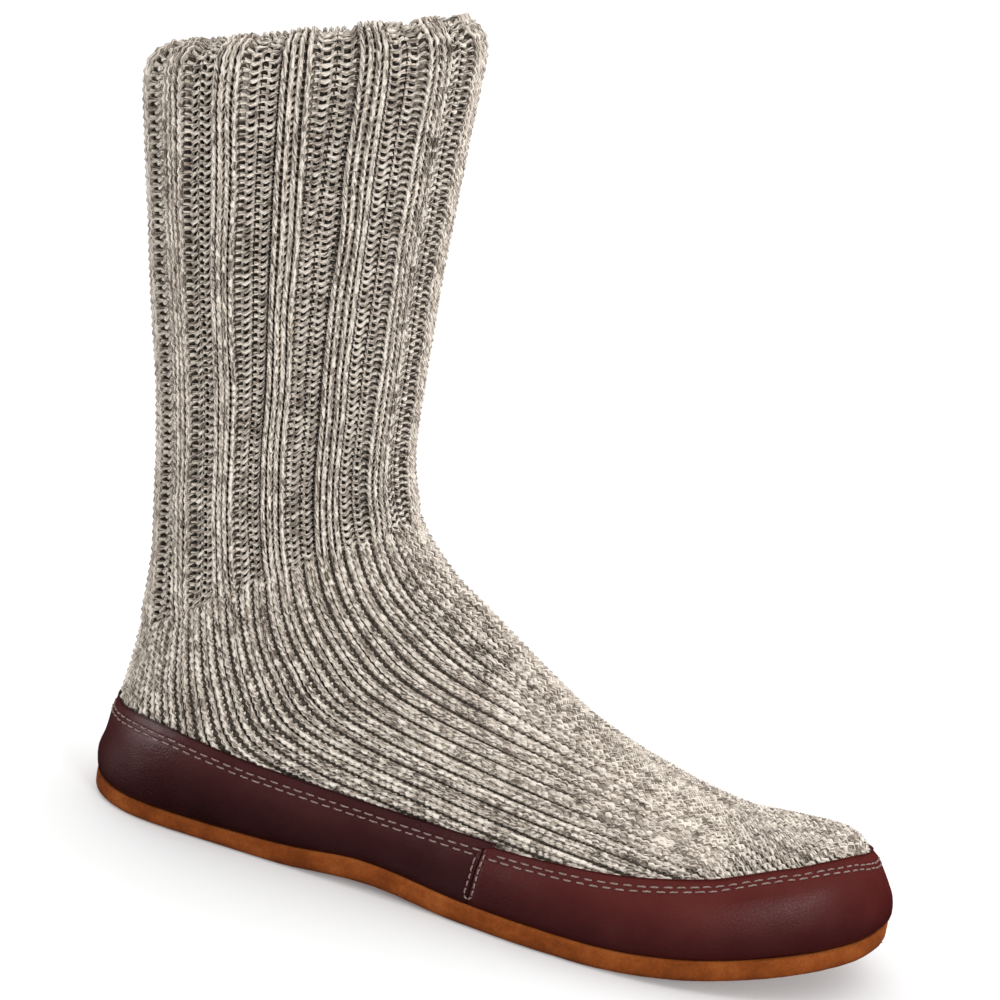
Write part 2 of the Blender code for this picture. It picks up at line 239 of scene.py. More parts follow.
def rand_top(x, y):
    u = np.zeros_like(x)
    for start, end in zip(RAND_TOP[:-1, 0], RAND_TOP[1:, 0]):
        u = u + np.clip((x - start) / (end - start), 0, 1)
    heights = spline(RAND_TOP[:, 1:], u)
    share = 0.5 + 0.5 * y / RAND_TOP_HALF_WIDTH
    return heights[..., 0] * (1 - share) + heights[..., 1] * share


def sole_bottom(x):
    """Underside of the sole: flat at heel and ball, lifted at the arch and the toe."""
    arch = np.clip((x - HEEL_FLAT[1]) / (BALL_FLAT[0] - HEEL_FLAT[1]), 0, 1)
    toe = np.clip((x - BALL_FLAT[1]) / (SOLE_LENGTH - BALL_FLAT[1]), 0, None)
    return (HEEL_LIFT * (1 - smooth_step(HEEL_BACK, HEEL_FLAT[0], x))
            + ARCH_RISE * np.sin(math.pi * arch) ** 2 + TOE_SPRING * toe ** SPRING_CURVE)


def sole_top(x):
    height = SOLE_EDGE_HEEL + (SOLE_EDGE - SOLE_EDGE_HEEL) * smooth_step(*HEEL_THIN, x)
    at_toe = smooth_step(HEEL_FLAT[1], BALL_FLAT[1], x)
    return sole_bottom(x) + height + (SOLE_EDGE_TOE - SOLE_EDGE) * at_toe


def halved(low, high, above):
    """Where "above" turns false between low, where it is true, and high."""
    for _ in range(HALVINGS):
        middle = (low + high) / 2
        inside = above(middle)
        low = np.where(inside, middle, low)
        high = np.where(inside, high, middle)
    return low


def lengths_along(line):
    """Length along the line up to each of its points."""
    return np.concatenate([[0], np.cumsum(np.linalg.norm(np.diff(line, axis=0), axis=1))])


def read_at(wanted, places, rows):
    """Rows that stand at rising places, read at the wanted ones."""
    return np.stack([np.interp(wanted, places, column) for column in rows.T], -1)


def evenly(line, count):
    """The line's points at even steps of its length."""
    lengths = lengths_along(line)
    return read_at(np.linspace(0, lengths[-1], count), lengths, line)


def sole_line(offset):
    """Closed line where the form, grown by offset, meets the top of the sole: from the
    back of the heel by the outer side to the toe, and back by the inner side."""
    def grown(u, angle):
        points, normals = form_points(np.asarray(u), np.asarray(angle))
        return points + normals * offset

    def above(u, angle):
        points = grown(u, angle)
        return points[..., 2] > sole_top(points[..., 0])

    heel = halved(float(ANKLE), float(WAIST), lambda u: above(u, math.pi))
    toe = halved(float(LAST_SECTION), float(BALL), lambda u: above(u, math.pi))
    t = np.linspace(0, 1, LINE_SAMPLES)[1:-1]
    eased = np.where(t < 0.5, 4 * t ** 3, 1 - 4 * (1 - t) ** 3)
    u = heel + (toe - heel) * eased
    angle = halved(np.full_like(u, math.pi / 2), np.full_like(u, math.pi),
                   lambda a: above(u, a))
    ends = grown(heel, math.pi)[None], grown(toe, math.pi)[None]
    outer = evenly(np.vstack([ends[0], grown(u, angle), ends[1]]), SIDE_STATIONS)
    inner = evenly(np.vstack([ends[0], grown(u, -angle), ends[1]]), SIDE_STATIONS)
    return np.vstack([outer[:-1], inner[:0:-1]])


SOFTENED = 3              # stations on each side that a station is averaged with


def softened(stations):
    """The closed row of stations, each averaged with its neighbours."""
    steps = range(-SOFTENED, SOFTENED + 1)
    return sum(np.roll(stations, step, axis=0) for step in steps) / len(steps)


def steps_round(stations):
    """For each of a closed row of stations, the way from the one before to the one after."""
    return np.roll(stations, -1, axis=0) - np.roll(stations, 1, axis=0)


def level_normals(line):
    """The level line's outward normals."""
    along = steps_round(line)
    return unit(np.stack([-along[:, 1], along[:, 0], np.zeros(len(line))], -1))


def middles(line):
    """For each point of a sole line, the middle between it and the one across from it."""
    return (line + np.roll(line[::-1], 1, axis=0)) / 2


# ---------------------------------------------------------------- fabric coordinates
def blend(table, row, next_row, down, column, next_column, across):
    """The table between two rows and two columns, by the shares down and across."""
    if table.ndim == 3:
        down, across = down[..., None], across[..., None]
    near = table[row, column] * (1 - across) + table[row, next_column] * across
    far = table[next_row, column] * (1 - across) + table[next_row, next_column] * across
    return near * (1 - down) + far * down


class Fabric:
    """The knitted surface, read by course (0 at the rim, rising towards the toe, less
    than 0 inside the hem) and by wale share (0 to 1 round the leg from the front)."""

    def __init__(self):
        u = np.linspace(0, LAST_SECTION, LAST_SECTION * ROWS_PER_SECTION + 1)
        angles = np.linspace(0, 2 * math.pi, FORM_ANGLES + 1)
        points, normals = form_points(u[:, None], angles[None, :])
        self.across = WALES * GRID_PER_WALE
        wale = np.arange(self.across) / self.across
        spread, turn = self.wander(u, 1), self.wander(u, 2)
        paths = np.zeros((len(u), self.across, 3))
        path_normals = np.zeros_like(paths)
        for i in range(len(u)):
            lengths = lengths_along(points[i])
            share = (wale + spread[i] * np.sin(2 * math.pi * wale) + turn[i]) % 1
            paths[i] = read_at(share, lengths / lengths[-1], points[i])
            path_normals[i] = read_at(share, lengths / lengths[-1], normals[i])
        self.paths, self.path_normals, self.sections = paths, unit(path_normals), u
        self.build_grid(wale)

    def wander(self, u, column):
        """A column of WALE_SHIFT at the sections u, averaged over one section."""
        values = np.interp(u, [row[0] for row in WALE_SHIFT], [row[column] for row in WALE_SHIFT])
        before = ROWS_PER_SECTION // 2
        padded = np.pad(values, (before, ROWS_PER_SECTION - 1 - before), mode="edge")
        return np.convolve(padded, np.ones(ROWS_PER_SECTION) / ROWS_PER_SECTION, "valid")

    def build_grid(self, wale):
        """Tables of points, normals and sections, one row a step of course."""
        self.first, self.step = -(HEM_COURSES + RIM_COURSES), 1 / GRID_PER_COURSE
        count = int((LAST_COURSE - self.first) * GRID_PER_COURSE) + 1
        course = self.first + np.arange(count) * self.step
        self.points = np.zeros((count, self.across, 3))
        self.normals = np.zeros_like(self.points)
        self.section = np.zeros((count, self.across))
        back_share = 1 - np.abs(1 - 2 * wale)
        ends = np.interp(back_share, np.linspace(0, 1, len(PANEL_END)), PANEL_END)
        for j in range(self.across):
            lengths = lengths_along(self.paths[:, j])
            leg = np.interp(ends[j], self.sections, lengths)
            wanted = np.where(course < LEG_COURSES, course * leg / LEG_COURSES,
                              leg + (course - LEG_COURSES) * COURSE)
            inside = -(course + RIM_COURSES) * COURSE
            wanted = np.where(course < -RIM_COURSES, inside, np.maximum(wanted, 0))
            self.points[:, j] = read_at(wanted, lengths, self.paths[:, j])
            self.normals[:, j] = read_at(wanted, lengths, self.path_normals[:, j])
            self.section[:, j] = np.interp(wanted, lengths, self.sections)
        self.turn_hem(course)
        self.normals = unit(self.normals)

    def turn_hem(self, course):
        """Carries the rows before course 0 over the rim and down the inside."""
        up = unit(self.paths[0] - self.paths[2])
        middle = self.paths[0] + self.path_normals[0] * HEM_MIDDLE
        for i in np.nonzero(course < 0)[0]:
            if course[i] > -RIM_COURSES:
                turn = -course[i] / RIM_COURSES * math.pi
                outward = self.path_normals[0] * math.cos(turn) + up * math.sin(turn)
                self.points[i] = middle - outward * HEM_MIDDLE
                self.normals[i] = outward
            else:
                self.points[i] += self.normals[i] * 2 * HEM_MIDDLE
                self.normals[i] = -self.normals[i]

    def read(self, table, course, wale):
        i = np.clip((course - self.first) / self.step, 0, len(table) - 1.001)
        j = (wale % 1) * self.across
        row, column = i.astype(int), j.astype(int) % self.across
        return blend(table, row, row + 1, i - row,
                     column, (column + 1) % self.across, j - np.floor(j))

    def place(self, course, wale, height):
        """Points at a height over the form, and the fabric's outward normals there."""
        normals = unit(self.read(self.normals, course, wale))
        return self.read(self.points, course, wale) + normals * height[..., None], normals


NOISE_SIZE = 64           # values along each side of the noise's repeating table


class Noise:
    """Smooth seeded noise between -1 and 1 on two coordinates."""

    def __init__(self, seed):
        self.values = np.random.default_rng(seed).uniform(-1, 1, (NOISE_SIZE, NOISE_SIZE))

    def __call__(self, first, second):
        first, second = np.broadcast_arrays(first, second)
        row, column = np.floor(first).astype(int), np.floor(second).astype(int)
        down, across = smooth_step(0, 1, first - row), smooth_step(0, 1, second - column)
        total = 0
        for i, row_weight in ((0, 1 - down), (1, down)):
            for j, column_weight in ((0, 1 - across), (1, across)):
                value = self.values[(row + i) % NOISE_SIZE, (column + j) % NOISE_SIZE]
                total = total + row_weight * column_weight * value
        return total

    def waves(self, size, first, second, shift=0):
        """The noise at a size: its height, and how far it spreads along each coordinate."""
        return size[0] * self(first / size[1] + shift, second / size[2])


def knit_share(course):
    """Share of a repeat that its knit wales take: narrow ribs in the leg, even in the foot."""
    in_foot = smooth_step(LEG_COURSES - SHARE_EASE, LEG_COURSES + SHARE_EASE, course)
    return KNIT_SHARE + (0.5 - KNIT_SHARE) * in_foot


def wale_edge(index, course):
    """Wale share of the edge before the wale of that index."""
    knit = knit_share(course)
    step = index % 4
    within = np.where(step < 2, step * knit / 2, knit + (step - 2) * (1 - knit) / 2)
    return (index // 4 + within - knit / 2) / REPEATS


def on_rib(course, wale):
    """1 on the ribs' knit wales and 0 on the purl panels."""
    phase = (wale * REPEATS + 0.5) % 1 - 0.5
    edge = knit_share(course) / 2
    return smooth_step(edge + RIB_SLOPE, edge - RIB_SLOPE, np.abs(phase))


def rib_height(course, wale):
    """Relief of the ribs: raised knit wales and lower purl panels, none in the foot. The
    hem inside the rim nests in it, so there it is the other way round."""
    fade = 1 - smooth_step(LEG_COURSES + RIB_FADE[0], LEG_COURSES + RIB_FADE[1], course)
    nested = smooth_step(NEST_PLACE[0] * RIM_COURSES, NEST_PLACE[1] * RIM_COURSES, course)
    return RIB_RELIEF * (2 * on_rib(course, wale) - 1) * fade * (1 - 2 * nested)


# ---------------------------------------------------------------- meshes
def new_object(name, data):
    made = bpy.data.objects.new(name, data)
    bpy.context.scene.collection.objects.link(made)
    return made


def ring_quads(rows, count):
    """Quads (rows - 1, count, 4) between rows of points that each close on themselves."""
    i, j = np.meshgrid(np.arange(rows - 1), np.arange(count), indexing="ij")
    k = (j + 1) % count
    return np.stack([i * count + j, (i + 1) * count + j, (i + 1) * count + k, i * count + k], -1)


def mesh_object(name, points, quads, maps):
    """An object from arrays: points (n, 3) in metres, quads (m, 4), maps (m, 4, 2)."""
    mesh = bpy.data.meshes.new(name)
    mesh.vertices.add(len(points))
    mesh.vertices.foreach_set("co", np.asarray(points, dtype=np.float32).ravel())
    mesh.loops.add(quads.size)
    mesh.loops.foreach_set("vertex_index", quads.astype(np.int32).ravel())
    mesh.polygons.add(len(quads))
    mesh.polygons.foreach_set("loop_start", np.arange(0, quads.size, 4, dtype=np.int32))
    mesh.polygons.foreach_set("use_smooth", np.full(len(quads), True))
    for map_name, values in maps.items():
        layer = mesh.uv_layers.new(name=map_name)
        layer.uv.foreach_set("vector", np.asarray(values, dtype=np.float32).ravel())
    mesh.update(calc_edges=True)
    mesh.validate()
    return new_object(name, mesh)


BAKE_MARGIN = 0.05        # share of a tube's strip left empty at each side of its map


def tubes(name, paths, ups, radii, corners, along, bake_u, bake_v, bake_height):
    """Open tubes round the paths (tubes, points, 3). The map "yarn" is in mm along and
    share round, and the map "OFBake" lays the tubes out side by side."""
    count, length = paths.shape[:2]
    tangent = unit(np.gradient(paths, axis=1))
    side = unit(np.cross(tangent, ups))
    up = np.cross(side, tangent)
    turns = np.radians(corners)[:, None]
    rings = (paths[:, :, None, :]
             + radii[..., None, None] * (np.cos(turns) * side[:, :, None, :]
                                         + np.sin(turns) * up[:, :, None, :]))
    first = np.arange(count)[:, None, None, None] * length * len(corners)
    quads = ring_quads(length, len(corners))[..., [3, 0, 1, 2]] + first

    def lengthwise(values):
        near, far = values[:, :-1, None], values[:, 1:, None]
        return np.stack([near, near, far, far], -1)

    # The first corner comes again at the end, a full turn on.
    shares = np.sort((90 - np.array(corners + (corners[0] - 360,))) % 360.0001 / 360)
    round_share = np.stack([shares[1:], shares[:-1], shares[:-1], shares[1:]], -1)
    within = BAKE_MARGIN + (1 - 2 * BAKE_MARGIN) * round_share
    stacked = bake_v[:, None, None, None] + bake_height * within
    maps = {}
    for key, u, v in (("yarn", lengthwise(along), round_share),
                      ("OFBake", lengthwise(bake_u), stacked)):
        maps[key] = np.stack(np.broadcast_arrays(u, v, quads)[:2], -1)
    return mesh_object(name, rings.reshape(-1, 3), quads.reshape(-1, 4), maps)


# ---------------------------------------------------------------- yarn
STITCH_STEPS = 8
YARN_CORNERS = (90, 22, -60, -120, 158)   # of the yarn's section, degrees from sideways
LOOP_FOOT = 0.78          # how far a loop reaches under its course, in courses
LOOP_HEAD_KNIT = 1.00     # how far it reaches over it
LOOP_HEAD_PURL = 0.72
LOOP_WAIST_KNIT = 0.128   # how upright a loop's legs stand, as a share of its wale
LOOP_WAIST_PURL = 0.120
LOOP_WAIST_FOOT = 0.170
LEG_RISE = 0.52           # height of a knit loop's legs over the yarn's middle, mm
ARC_DROP = 1.60           # depth of its head and foot under it
LEGS_TOGETHER = 0.056     # how much closer a loop's legs stand in the foot
LEG_STARTS = 0.20         # how far into a foot loop's leg it starts to rise
LEG_LEVEL = 0.80          # how far into a knit loop's leg it lies level
PRESS = 0.8               # how far the rand's top edge presses into the knit, mm
PRESS_PLACE = (1.6, -1.0)  # height over that edge where the press starts, and is full
ARC_FLATNESS = 0.55       # how flat the tops of the purl arcs are
LOOP_DEPTH_PURL = 0.62
LOOP_LAP = 0.26           # how far a knit loop's foot lies over the loop before, mm
STITCH_YARN = 9.5         # yarn in one stitch, mm
PLY_JITTER = 14.0         # by how much the plies' twist strays from stitch to stitch, mm
WALE_WOBBLE = (0.0021, 9, 1.7)    # how far wales wander round, over courses and wales
COURSE_WOBBLE = (0.12, 2.3, 1.3)  # how far courses wander, in courses
HEIGHT_WOBBLE = (0.22, 4.1, 2.6)  # how far the yarn wanders in height, mm
FOOT_CALM = 0.6           # share of the wales' wander that is gone in the foot
CALM_ROWS = 10            # courses over which it goes
HIDDEN_KNIT = 7.0         # how far the yarn runs down behind the rand, mm
RAND_TOP_LOW = 29.0       # lowest height of the rand's top edge
YARN_SPANS = [
    # piece, first course, course after its last
    ("yarn_leg_top", -HEM_COURSES, 30),
    ("yarn_leg_low", 30, LEG_COURSES),
    ("yarn_instep", LEG_COURSES, 112),
    ("yarn_toe", 112, LAST_COURSE),
]


def stitches(fabric, wale, course):
    """Yarn paths of the stitches, from edge to edge of each wale, in metres."""
    t = np.linspace(0, 1, STITCH_STEPS + 1)[None, :]
    wale, course = wale[:, None], course[:, None]
    in_foot = course >= LEG_COURSES
    knit = (wale % 4 < 2) | in_foot
    low, high = wale_edge(wale, course), wale_edge(wale + 1, course)
    head = np.where(knit, LOOP_HEAD_KNIT, LOOP_HEAD_PURL)
    waist = np.where(knit, LOOP_WAIST_KNIT, LOOP_WAIST_PURL)
    waist = np.where(in_foot, LOOP_WAIST_FOOT, waist)
    rise = 0.5 - 0.5 * np.cos(2 * math.pi * t)
    flat_rise = rise + ARC_FLATNESS * (smooth_step(0, 1, rise) - rise)
    rise = np.where(knit, rise, flat_rise)
    x = t + waist * np.sin(4 * math.pi * t)
    x = x + np.where(in_foot, LEGS_TOGETHER, 0) * np.sin(2 * math.pi * t)
    y = -LOOP_FOOT + (LOOP_FOOT + head) * rise
    in_leg = 0.5 - 0.5 * np.cos(4 * math.pi * t)
    level_leg = smooth_step(np.where(in_foot, LEG_STARTS, 0.0), LEG_LEVEL, in_leg)
    z = np.where(knit, LOOP_LAP * (1 - 2 * rise) + (LEG_RISE + ARC_DROP) * level_leg - ARC_DROP,
                 LOOP_DEPTH_PURL * (1 - 2 * in_leg))
    across = low + (high - low) * x
    rows = course + 0.5 + y
    wobble = Noise(11)
    calm = 1 - FOOT_CALM * smooth_step(LEG_COURSES, LEG_COURSES + CALM_ROWS, rows)
    across = across + wobble.waves(WALE_WOBBLE, rows, across * WALES) * calm
    rows = rows + wobble.waves(COURSE_WOBBLE, rows, across * WALES, shift=17)
    knit_swell = np.where(in_foot, LEG_SWELL, RIB_SWELL)
    swell = YARN_RADIUS + np.where(knit, knit_swell * level_leg, ARC_SWELL * (1 - 2 * in_leg))
    level = 0 * rows + YARN_HEIGHT
    before, _ = fabric.place(rows, low + 0 * rows, level)
    after, _ = fabric.place(rows, high + 0 * rows, level)
    width = np.linalg.norm(after - before, axis=-1)
    thinner = np.clip(width / FULL_WALE, THINNEST, 1.0)
    height = level + rib_height(rows, across) + z + swell * (1 - thinner)
    height = height + wobble.waves(HEIGHT_WOBBLE, rows, across * WALES, shift=31)
    points, normals = fabric.place(rows, across, height)
    over_rand = points[..., 2] - rand_top(points[..., 0], points[..., 1])
    points = points - normals * PRESS * smooth_step(*PRESS_PLACE, over_rand)[..., None]
    return to_frame(points), normals, swell * thinner * MM


def stitch_grid(fabric, first, last):
    """Wale and course numbers of the stitches that show between two courses."""
    wale, course = np.meshgrid(np.arange(WALES), np.arange(first, last), indexing="ij")
    wale, course = wale.ravel(), course.ravel()
    middle = wale_edge(wale, course) / 2 + wale_edge(wale + 1, course) / 2
    section = fabric.read(fabric.section, course + 0.5, middle)
    point, _ = fabric.place(course + 0.5, middle, np.full(len(wale), KNIT_WALL))
    shown = (section < LAST_SECTION - 0.2) & (point[:, 2] > RAND_TOP_LOW - HIDDEN_KNIT)
    return wale[shown], course[shown]


def make_yarn(fabric, name, first, last):
    """The stitches between two courses, as one piece of yarn tubes."""
    wale, course = stitch_grid(fabric, first, last)
    paths, ups, radii = stitches(fabric, wale, course)
    share = np.linspace(0, 1, STITCH_STEPS + 1)[None, :]
    courses = LAST_COURSE + HEM_COURSES + 2
    strays = np.random.default_rng(5).uniform(0, PLY_JITTER, (courses, WALES + 1))
    start = wale * STITCH_YARN + strays[course, wale]
    end = (wale + 1) * STITCH_YARN + strays[course, wale + 1]
    along = start[:, None] * (1 - share) + end[:, None] * share
    bake_u = (wale[:, None] + share) / WALES
    bake_v = (course - first) / (last - first)
    yarn = tubes(name, paths, ups, radii, YARN_CORNERS, along, bake_u, bake_v,
                 1 / (last - first))
    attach(yarn, "root")
    return yarn


# ---------------------------------------------------------------- the knit's ground
GROUND_DEPTH = 1.35       # of the ground's outer face under the yarn's middle, mm
GROUND_DEPTH_RIB = 1.30   # the same under the ribs' wales
GROUND_DEPTH_FOOT = 0.75  # and in the foot
GROUND_FADE = (-1.0, 0.5)  # courses from the leg's end between which that sets in
GROUND_RIDGE = 0.45       # how much shallower it is there between the wales
GROUND_RIM_RISE = 0.5     # and along the rim
GROUND_RIM_PLACE = (7, 1)  # courses from the rim where that starts, and is full
GROUND_END = 0.3          # height over the sole where the ground ends, mm
GROUND_THICKNESS = 0.9
GROUND_STEP = 1.5         # courses between the ground's rows
GROUND_PER_WALE = 4
# Outer face of the ground: painted shade, far darker than the same backing on the inside.
GROUND_PAINTED_SHADE_COLOURS = ((0.030, 0.024, 0.019), (0.10, 0.083, 0.066))
INSIDE_COLOURS = ((0.12, 0.096, 0.078), (0.58, 0.510, 0.440))


def make_ground(fabric):
    """The fabric between and behind the yarn: one folded sheet with its inner face. Its outer face
    is painted shade.
    """
    count = WALES * GROUND_PER_WALE
    rows = np.arange(fabric.first + 0.5, LAST_COURSE, GROUND_STEP)
    course, across = np.meshgrid(rows, np.arange(count) / count, indexing="ij")
    in_foot = smooth_step(LEG_COURSES + GROUND_FADE[0], LEG_COURSES + GROUND_FADE[1], course)
    depth = GROUND_DEPTH + (GROUND_DEPTH_RIB - GROUND_DEPTH) * on_rib(course, across)
    between = 0.5 + 0.5 * np.cos(2 * math.pi * across * WALES)
    depth = depth + (GROUND_DEPTH_FOOT - GROUND_RIDGE * between - depth) * in_foot
    depth = depth - GROUND_RIM_RISE * smooth_step(*GROUND_RIM_PLACE, course)
    height = YARN_HEIGHT - depth + rib_height(course, across)
    points = fabric.place(course, across, height)[0].reshape(-1, 3)
    on_form = fabric.read(fabric.section, course, across)[1:] < LAST_SECTION - 0.05
    quads = ring_quads(len(rows), count)
    near = np.arange(count)
    sheet = np.zeros(quads.shape + (2,))
    sheet[..., 0] = np.stack([near, near, near + 1, near + 1], -1) / GROUND_PER_WALE
    sheet[..., 1] = np.stack([rows[:-1], rows[1:], rows[1:], rows[:-1]], -1)[:, None]
    points[:, 2] -= sole_top(points[:, 0])
    ground = mesh_object("knit_ground_painted_shade", points, quads[on_form], {"knit": sheet[on_form]})
    cut_below(ground, GROUND_END)
    points = np.array([vertex.co for vertex in ground.data.vertices])
    points[:, 2] += sole_top(points[:, 0])
    ground.data.vertices.foreach_set("co", to_frame(points).ravel())
    solid = ground.modifiers.new("thickness", "SOLIDIFY")
    solid.thickness = GROUND_THICKNESS * MM
    solid.offset = -1
    solid.material_offset = 1
    # Painted shade on the outer face, and the backing's own colour on the inner one.
    ground.data.materials.append(back_wool("knit_ground_painted_shade", 900, *GROUND_PAINTED_SHADE_COLOURS))
    ground.data.materials.append(back_wool("knit_inside", 420, *INSIDE_COLOURS))
    apply_modifiers(ground)
    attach(ground, "root")
    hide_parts("upper")
    return ground


def cut_below(piece, height):
    """Cuts away the mesh under that height."""
    work = bmesh.new()
    work.from_mesh(piece.data)
    everything = work.verts[:] + work.edges[:] + work.faces[:]
    bmesh.ops.bisect_plane(work, geom=everything, plane_co=(0, 0, height), plane_no=(0, 0, 1),
                           clear_inner=True)
    work.to_mesh(piece.data)
    work.free()


def apply_modifiers(piece):
    depsgraph = bpy.context.evaluated_depsgraph_get()
    solid = bpy.data.meshes.new_from_object(piece.evaluated_get(depsgraph))
    old = piece.data
    piece.modifiers.clear()
    piece.data = solid
    solid.name = old.name
    bpy.data.meshes.remove(old)


# ---------------------------------------------------------------- rand
TOE_POLE = (274.6, -7.5, 24.4)    # tip of the form
RAND_FIRST_SECTION = 5
FACE_STEPS = 12           # rows of the face's mesh in each section
FACE_ANGLES = 360
RAY_START = 24.0          # how far inside the sole's line the profile's rays start, mm
RAY_TOP = 42.0            # height over the sole that they reach, mm
RAYS = 64
PROFILE_ROWS = 40
ROW_DEPTHS = (3.5, 5.2)   # of the two stitch rows, under the top edge
TOE_ROW_LIFT = 0.5        # how much higher they lie on the toe piece, away from its ends
TIP_ROW_DROP = 1.1        # how much lower they lie round the toe's tip
TOE_EDGE_DROP = 1.3       # how much lower its top edge lies at its ends
TOE_START, TOE_END = 2.0, 34.0    # from its ends, where both start and where they end
COLUMN_ASIDE = 1.3        # of the stitch columns, from the side seam
SINK_DEPTH = 0.5          # how far the rand runs down into the sole's nap


class Rand:
    """The leather band's outer face, read by mm along the sole's line and by mm down
    from the top edge."""

    def __init__(self):
        offset = KNIT_WALL + FIT_GAP + RAND_WALL
        line = sole_line(offset)
        line[:, 2] = sole_top(line[:, 0])
        self.outward = level_normals(line)
        self.starts = lengths_along(np.vstack([line, line[:1]]))
        self.length = self.starts[-1]
        starts = self.starts[:-1]
        outer, inner = slice(SIDE_STATIONS), slice(None, SIDE_STATIONS - 1, -1)
        self.outer_seam, self.inner_seam = (np.interp(SEAM_X, line[side, 0], starts[side])
                                            for side in (outer, inner))
        self.points = np.zeros((len(line), PROFILE_ROWS, 3))
        self.depths = np.zeros(len(line))
        tree = self.face(offset)
        for i, point in enumerate(line):
            self.profile(i, point, tree)
        self.points = softened(self.points)
        down = np.gradient(self.points, axis=1)
        normals = unit(np.cross(steps_round(self.points), down))
        facing = np.sign((normals * self.outward[:, None]).sum(-1, keepdims=True))
        self.normals = normals * np.where(facing == 0, 1, facing)

    def face(self, offset):
        """A tree of the form's surface, grown by offset and closed at the toe."""
        count = (LAST_SECTION - RAND_FIRST_SECTION) * FACE_STEPS + 1
        u = np.linspace(RAND_FIRST_SECTION, LAST_SECTION, count)
        angles = 2 * math.pi * np.arange(FACE_ANGLES) / FACE_ANGLES
        points, normals = form_points(u[:, None], angles[None, :])
        points = (points + normals * offset).reshape(-1, 3)
        pole = np.array(TOE_POLE) + (offset, 0, 0)
        quads = ring_quads(count, FACE_ANGLES)[..., [0, 3, 2, 1]].reshape(-1, 4)
        last = len(points) - FACE_ANGLES
        fan = [(last + a, last + (a + 1) % FACE_ANGLES, len(points)) for a in range(FACE_ANGLES)]
        return BVHTree.FromPolygons(np.vstack([points, pole]).tolist(), quads.tolist() + fan)

    def profile(self, i, point, tree):
        """Fills one station: points evenly down the face from the top edge."""
        outward = self.outward[i]
        start = point - outward * RAY_START
        hits = [point - (0, 0, SINK_DEPTH), point]
        for height in np.linspace(0, RAY_TOP, RAYS)[1:]:
            hit = tree.ray_cast(Vector(start + (0, 0, height)), Vector(outward))[0]
            if hit is None:
                break
            hits.append(np.array(hit))
        hits = np.array(hits)
        over = hits[:, 2] - rand_top(hits[:, 0], hits[:, 1])
        first = int(np.argmax(over > 0))
        share = over[first - 1] / (over[first - 1] - over[first])
        top = hits[first - 1] + (hits[first] - hits[first - 1]) * share
        face = np.vstack([hits[:first], top])[::-1]
        self.depths[i] = lengths_along(face)[-1]
        self.points[i] = evenly(face, PROFILE_ROWS)

    def at_station(self, values, s):
        """The stations' values, read at places along the sole's line."""
        return np.interp(s % self.length, self.starts, np.append(values, values[0]))

    def depth(self, s):
        return self.at_station(self.depths, s)

    def tip_share(self, s):
        """1 where the rand faces along the shoe, at the heel and the toe, and 0 at its sides."""
        return self.at_station(self.outward[:, 0] ** 2, s)

    def place(self, s, down, height):
        """Points at a height over the face, and its outward normals."""
        s, down, height = np.broadcast_arrays(s, down, height)
        count = len(self.depths)
        i = np.interp(s % self.length, self.starts, np.arange(count + 1))
        station = i.astype(int) % count
        j = np.clip(down / self.depth(s), 0, 1) * (PROFILE_ROWS - 1)
        row = np.clip(j.astype(int), 0, PROFILE_ROWS - 2)
        points, normals = (blend(table, station, (station + 1) % count, i - np.floor(i),
                                 row, row + 1, j - row)
                           for table in (self.points, self.normals))
        normals = unit(normals)
        return points + normals * height[..., None], normals

    def lean(self, s, down):
        """How far the side seams' slant carries a point along, at its height."""
        return SEAM_LEAN * (1 - down / self.depth(s))


RAND_STEP = 1.6           # between the columns of the rand's mesh, mm
TOP_STEP = 0.45           # between its rows near the top edge
TOP_ZONE = 7.0
LOW_ROWS = 11
EDGE_STEPS = 5            # round the cut top edge
FLAP = 3.4                # how far the heel piece's top corner runs past the side seam
FLAP_DEPTH = 2.6
FLAP_CORNER = 0.8         # how round the flap's lower corner is
FLAP_REACH = 12           # how far from the end the flap's stretch starts
TOE_DROP_DEPTH = 12       # depth at which the toe piece's dropped edge is level again
END_COLUMNS = (0, 0.22, 0.5, 0.8, 1.1, 1.4, 1.8, 2.4, 3.2)    # of its mesh, from each end
INNER_LOWEST = -0.3       # how far the inner face follows the outer one inwards
WAVES = (0.16, 17, 10)    # height of the leather's waves, and their spread along and down
CREASES = (0.07, 5.5, 4.2)
ROW_GROOVE = (0.24, 0.5)  # depth of a stitch row's groove, and its spread
COLUMN_GROOVE = (0.20, 0.45)
COLUMN_TOP = (2.5, 3.5)   # depths between which the columns' groove starts
END_TUCK = (0.6, 0.8)     # how far the leather turns in at its ends, and over what length
SEAM_GAP = 0.12           # between the two pieces at the side seams
TUCK = 1.3                # how far the leather turns in above the sole
TUCK_HEIGHT = 2.6         # and how high over the sole that starts
TOP_TUCK = 1.7            # how far its top edge leans in to the knit
TUCK_DEPTH = 10.0         # how far down from the top edge it leans
LOW_BULGE = 1.5           # how far it bulges round the heel and the toe, low down
BULGE_PLACE = (7.5, 5.5)  # height of the bulge over the sole, and its spread


def row_depth(row, from_end, flap, at_tip):
    """Depth of a stitch row under the top edge. flap is 1 on the heel piece, else 0."""
    lift = TOE_ROW_LIFT * smooth_step(TOE_START, TOE_END, from_end) - TIP_ROW_DROP * at_tip
    return ROW_DEPTHS[row] - (1 - flap) * lift


def bell(value, spread):
    return np.exp(-(value / spread) ** 2)


def fall(value, reach, power=1):
    """1 where the value is 0, falling to 0 where it comes to reach."""
    return np.clip(1 - value / reach, 0, 1) ** power


def top_tuck(down):
    """How far the leather leans in to the knit at a depth under its top edge."""
    return TOP_TUCK * fall(down, TUCK_DEPTH, 1.5)


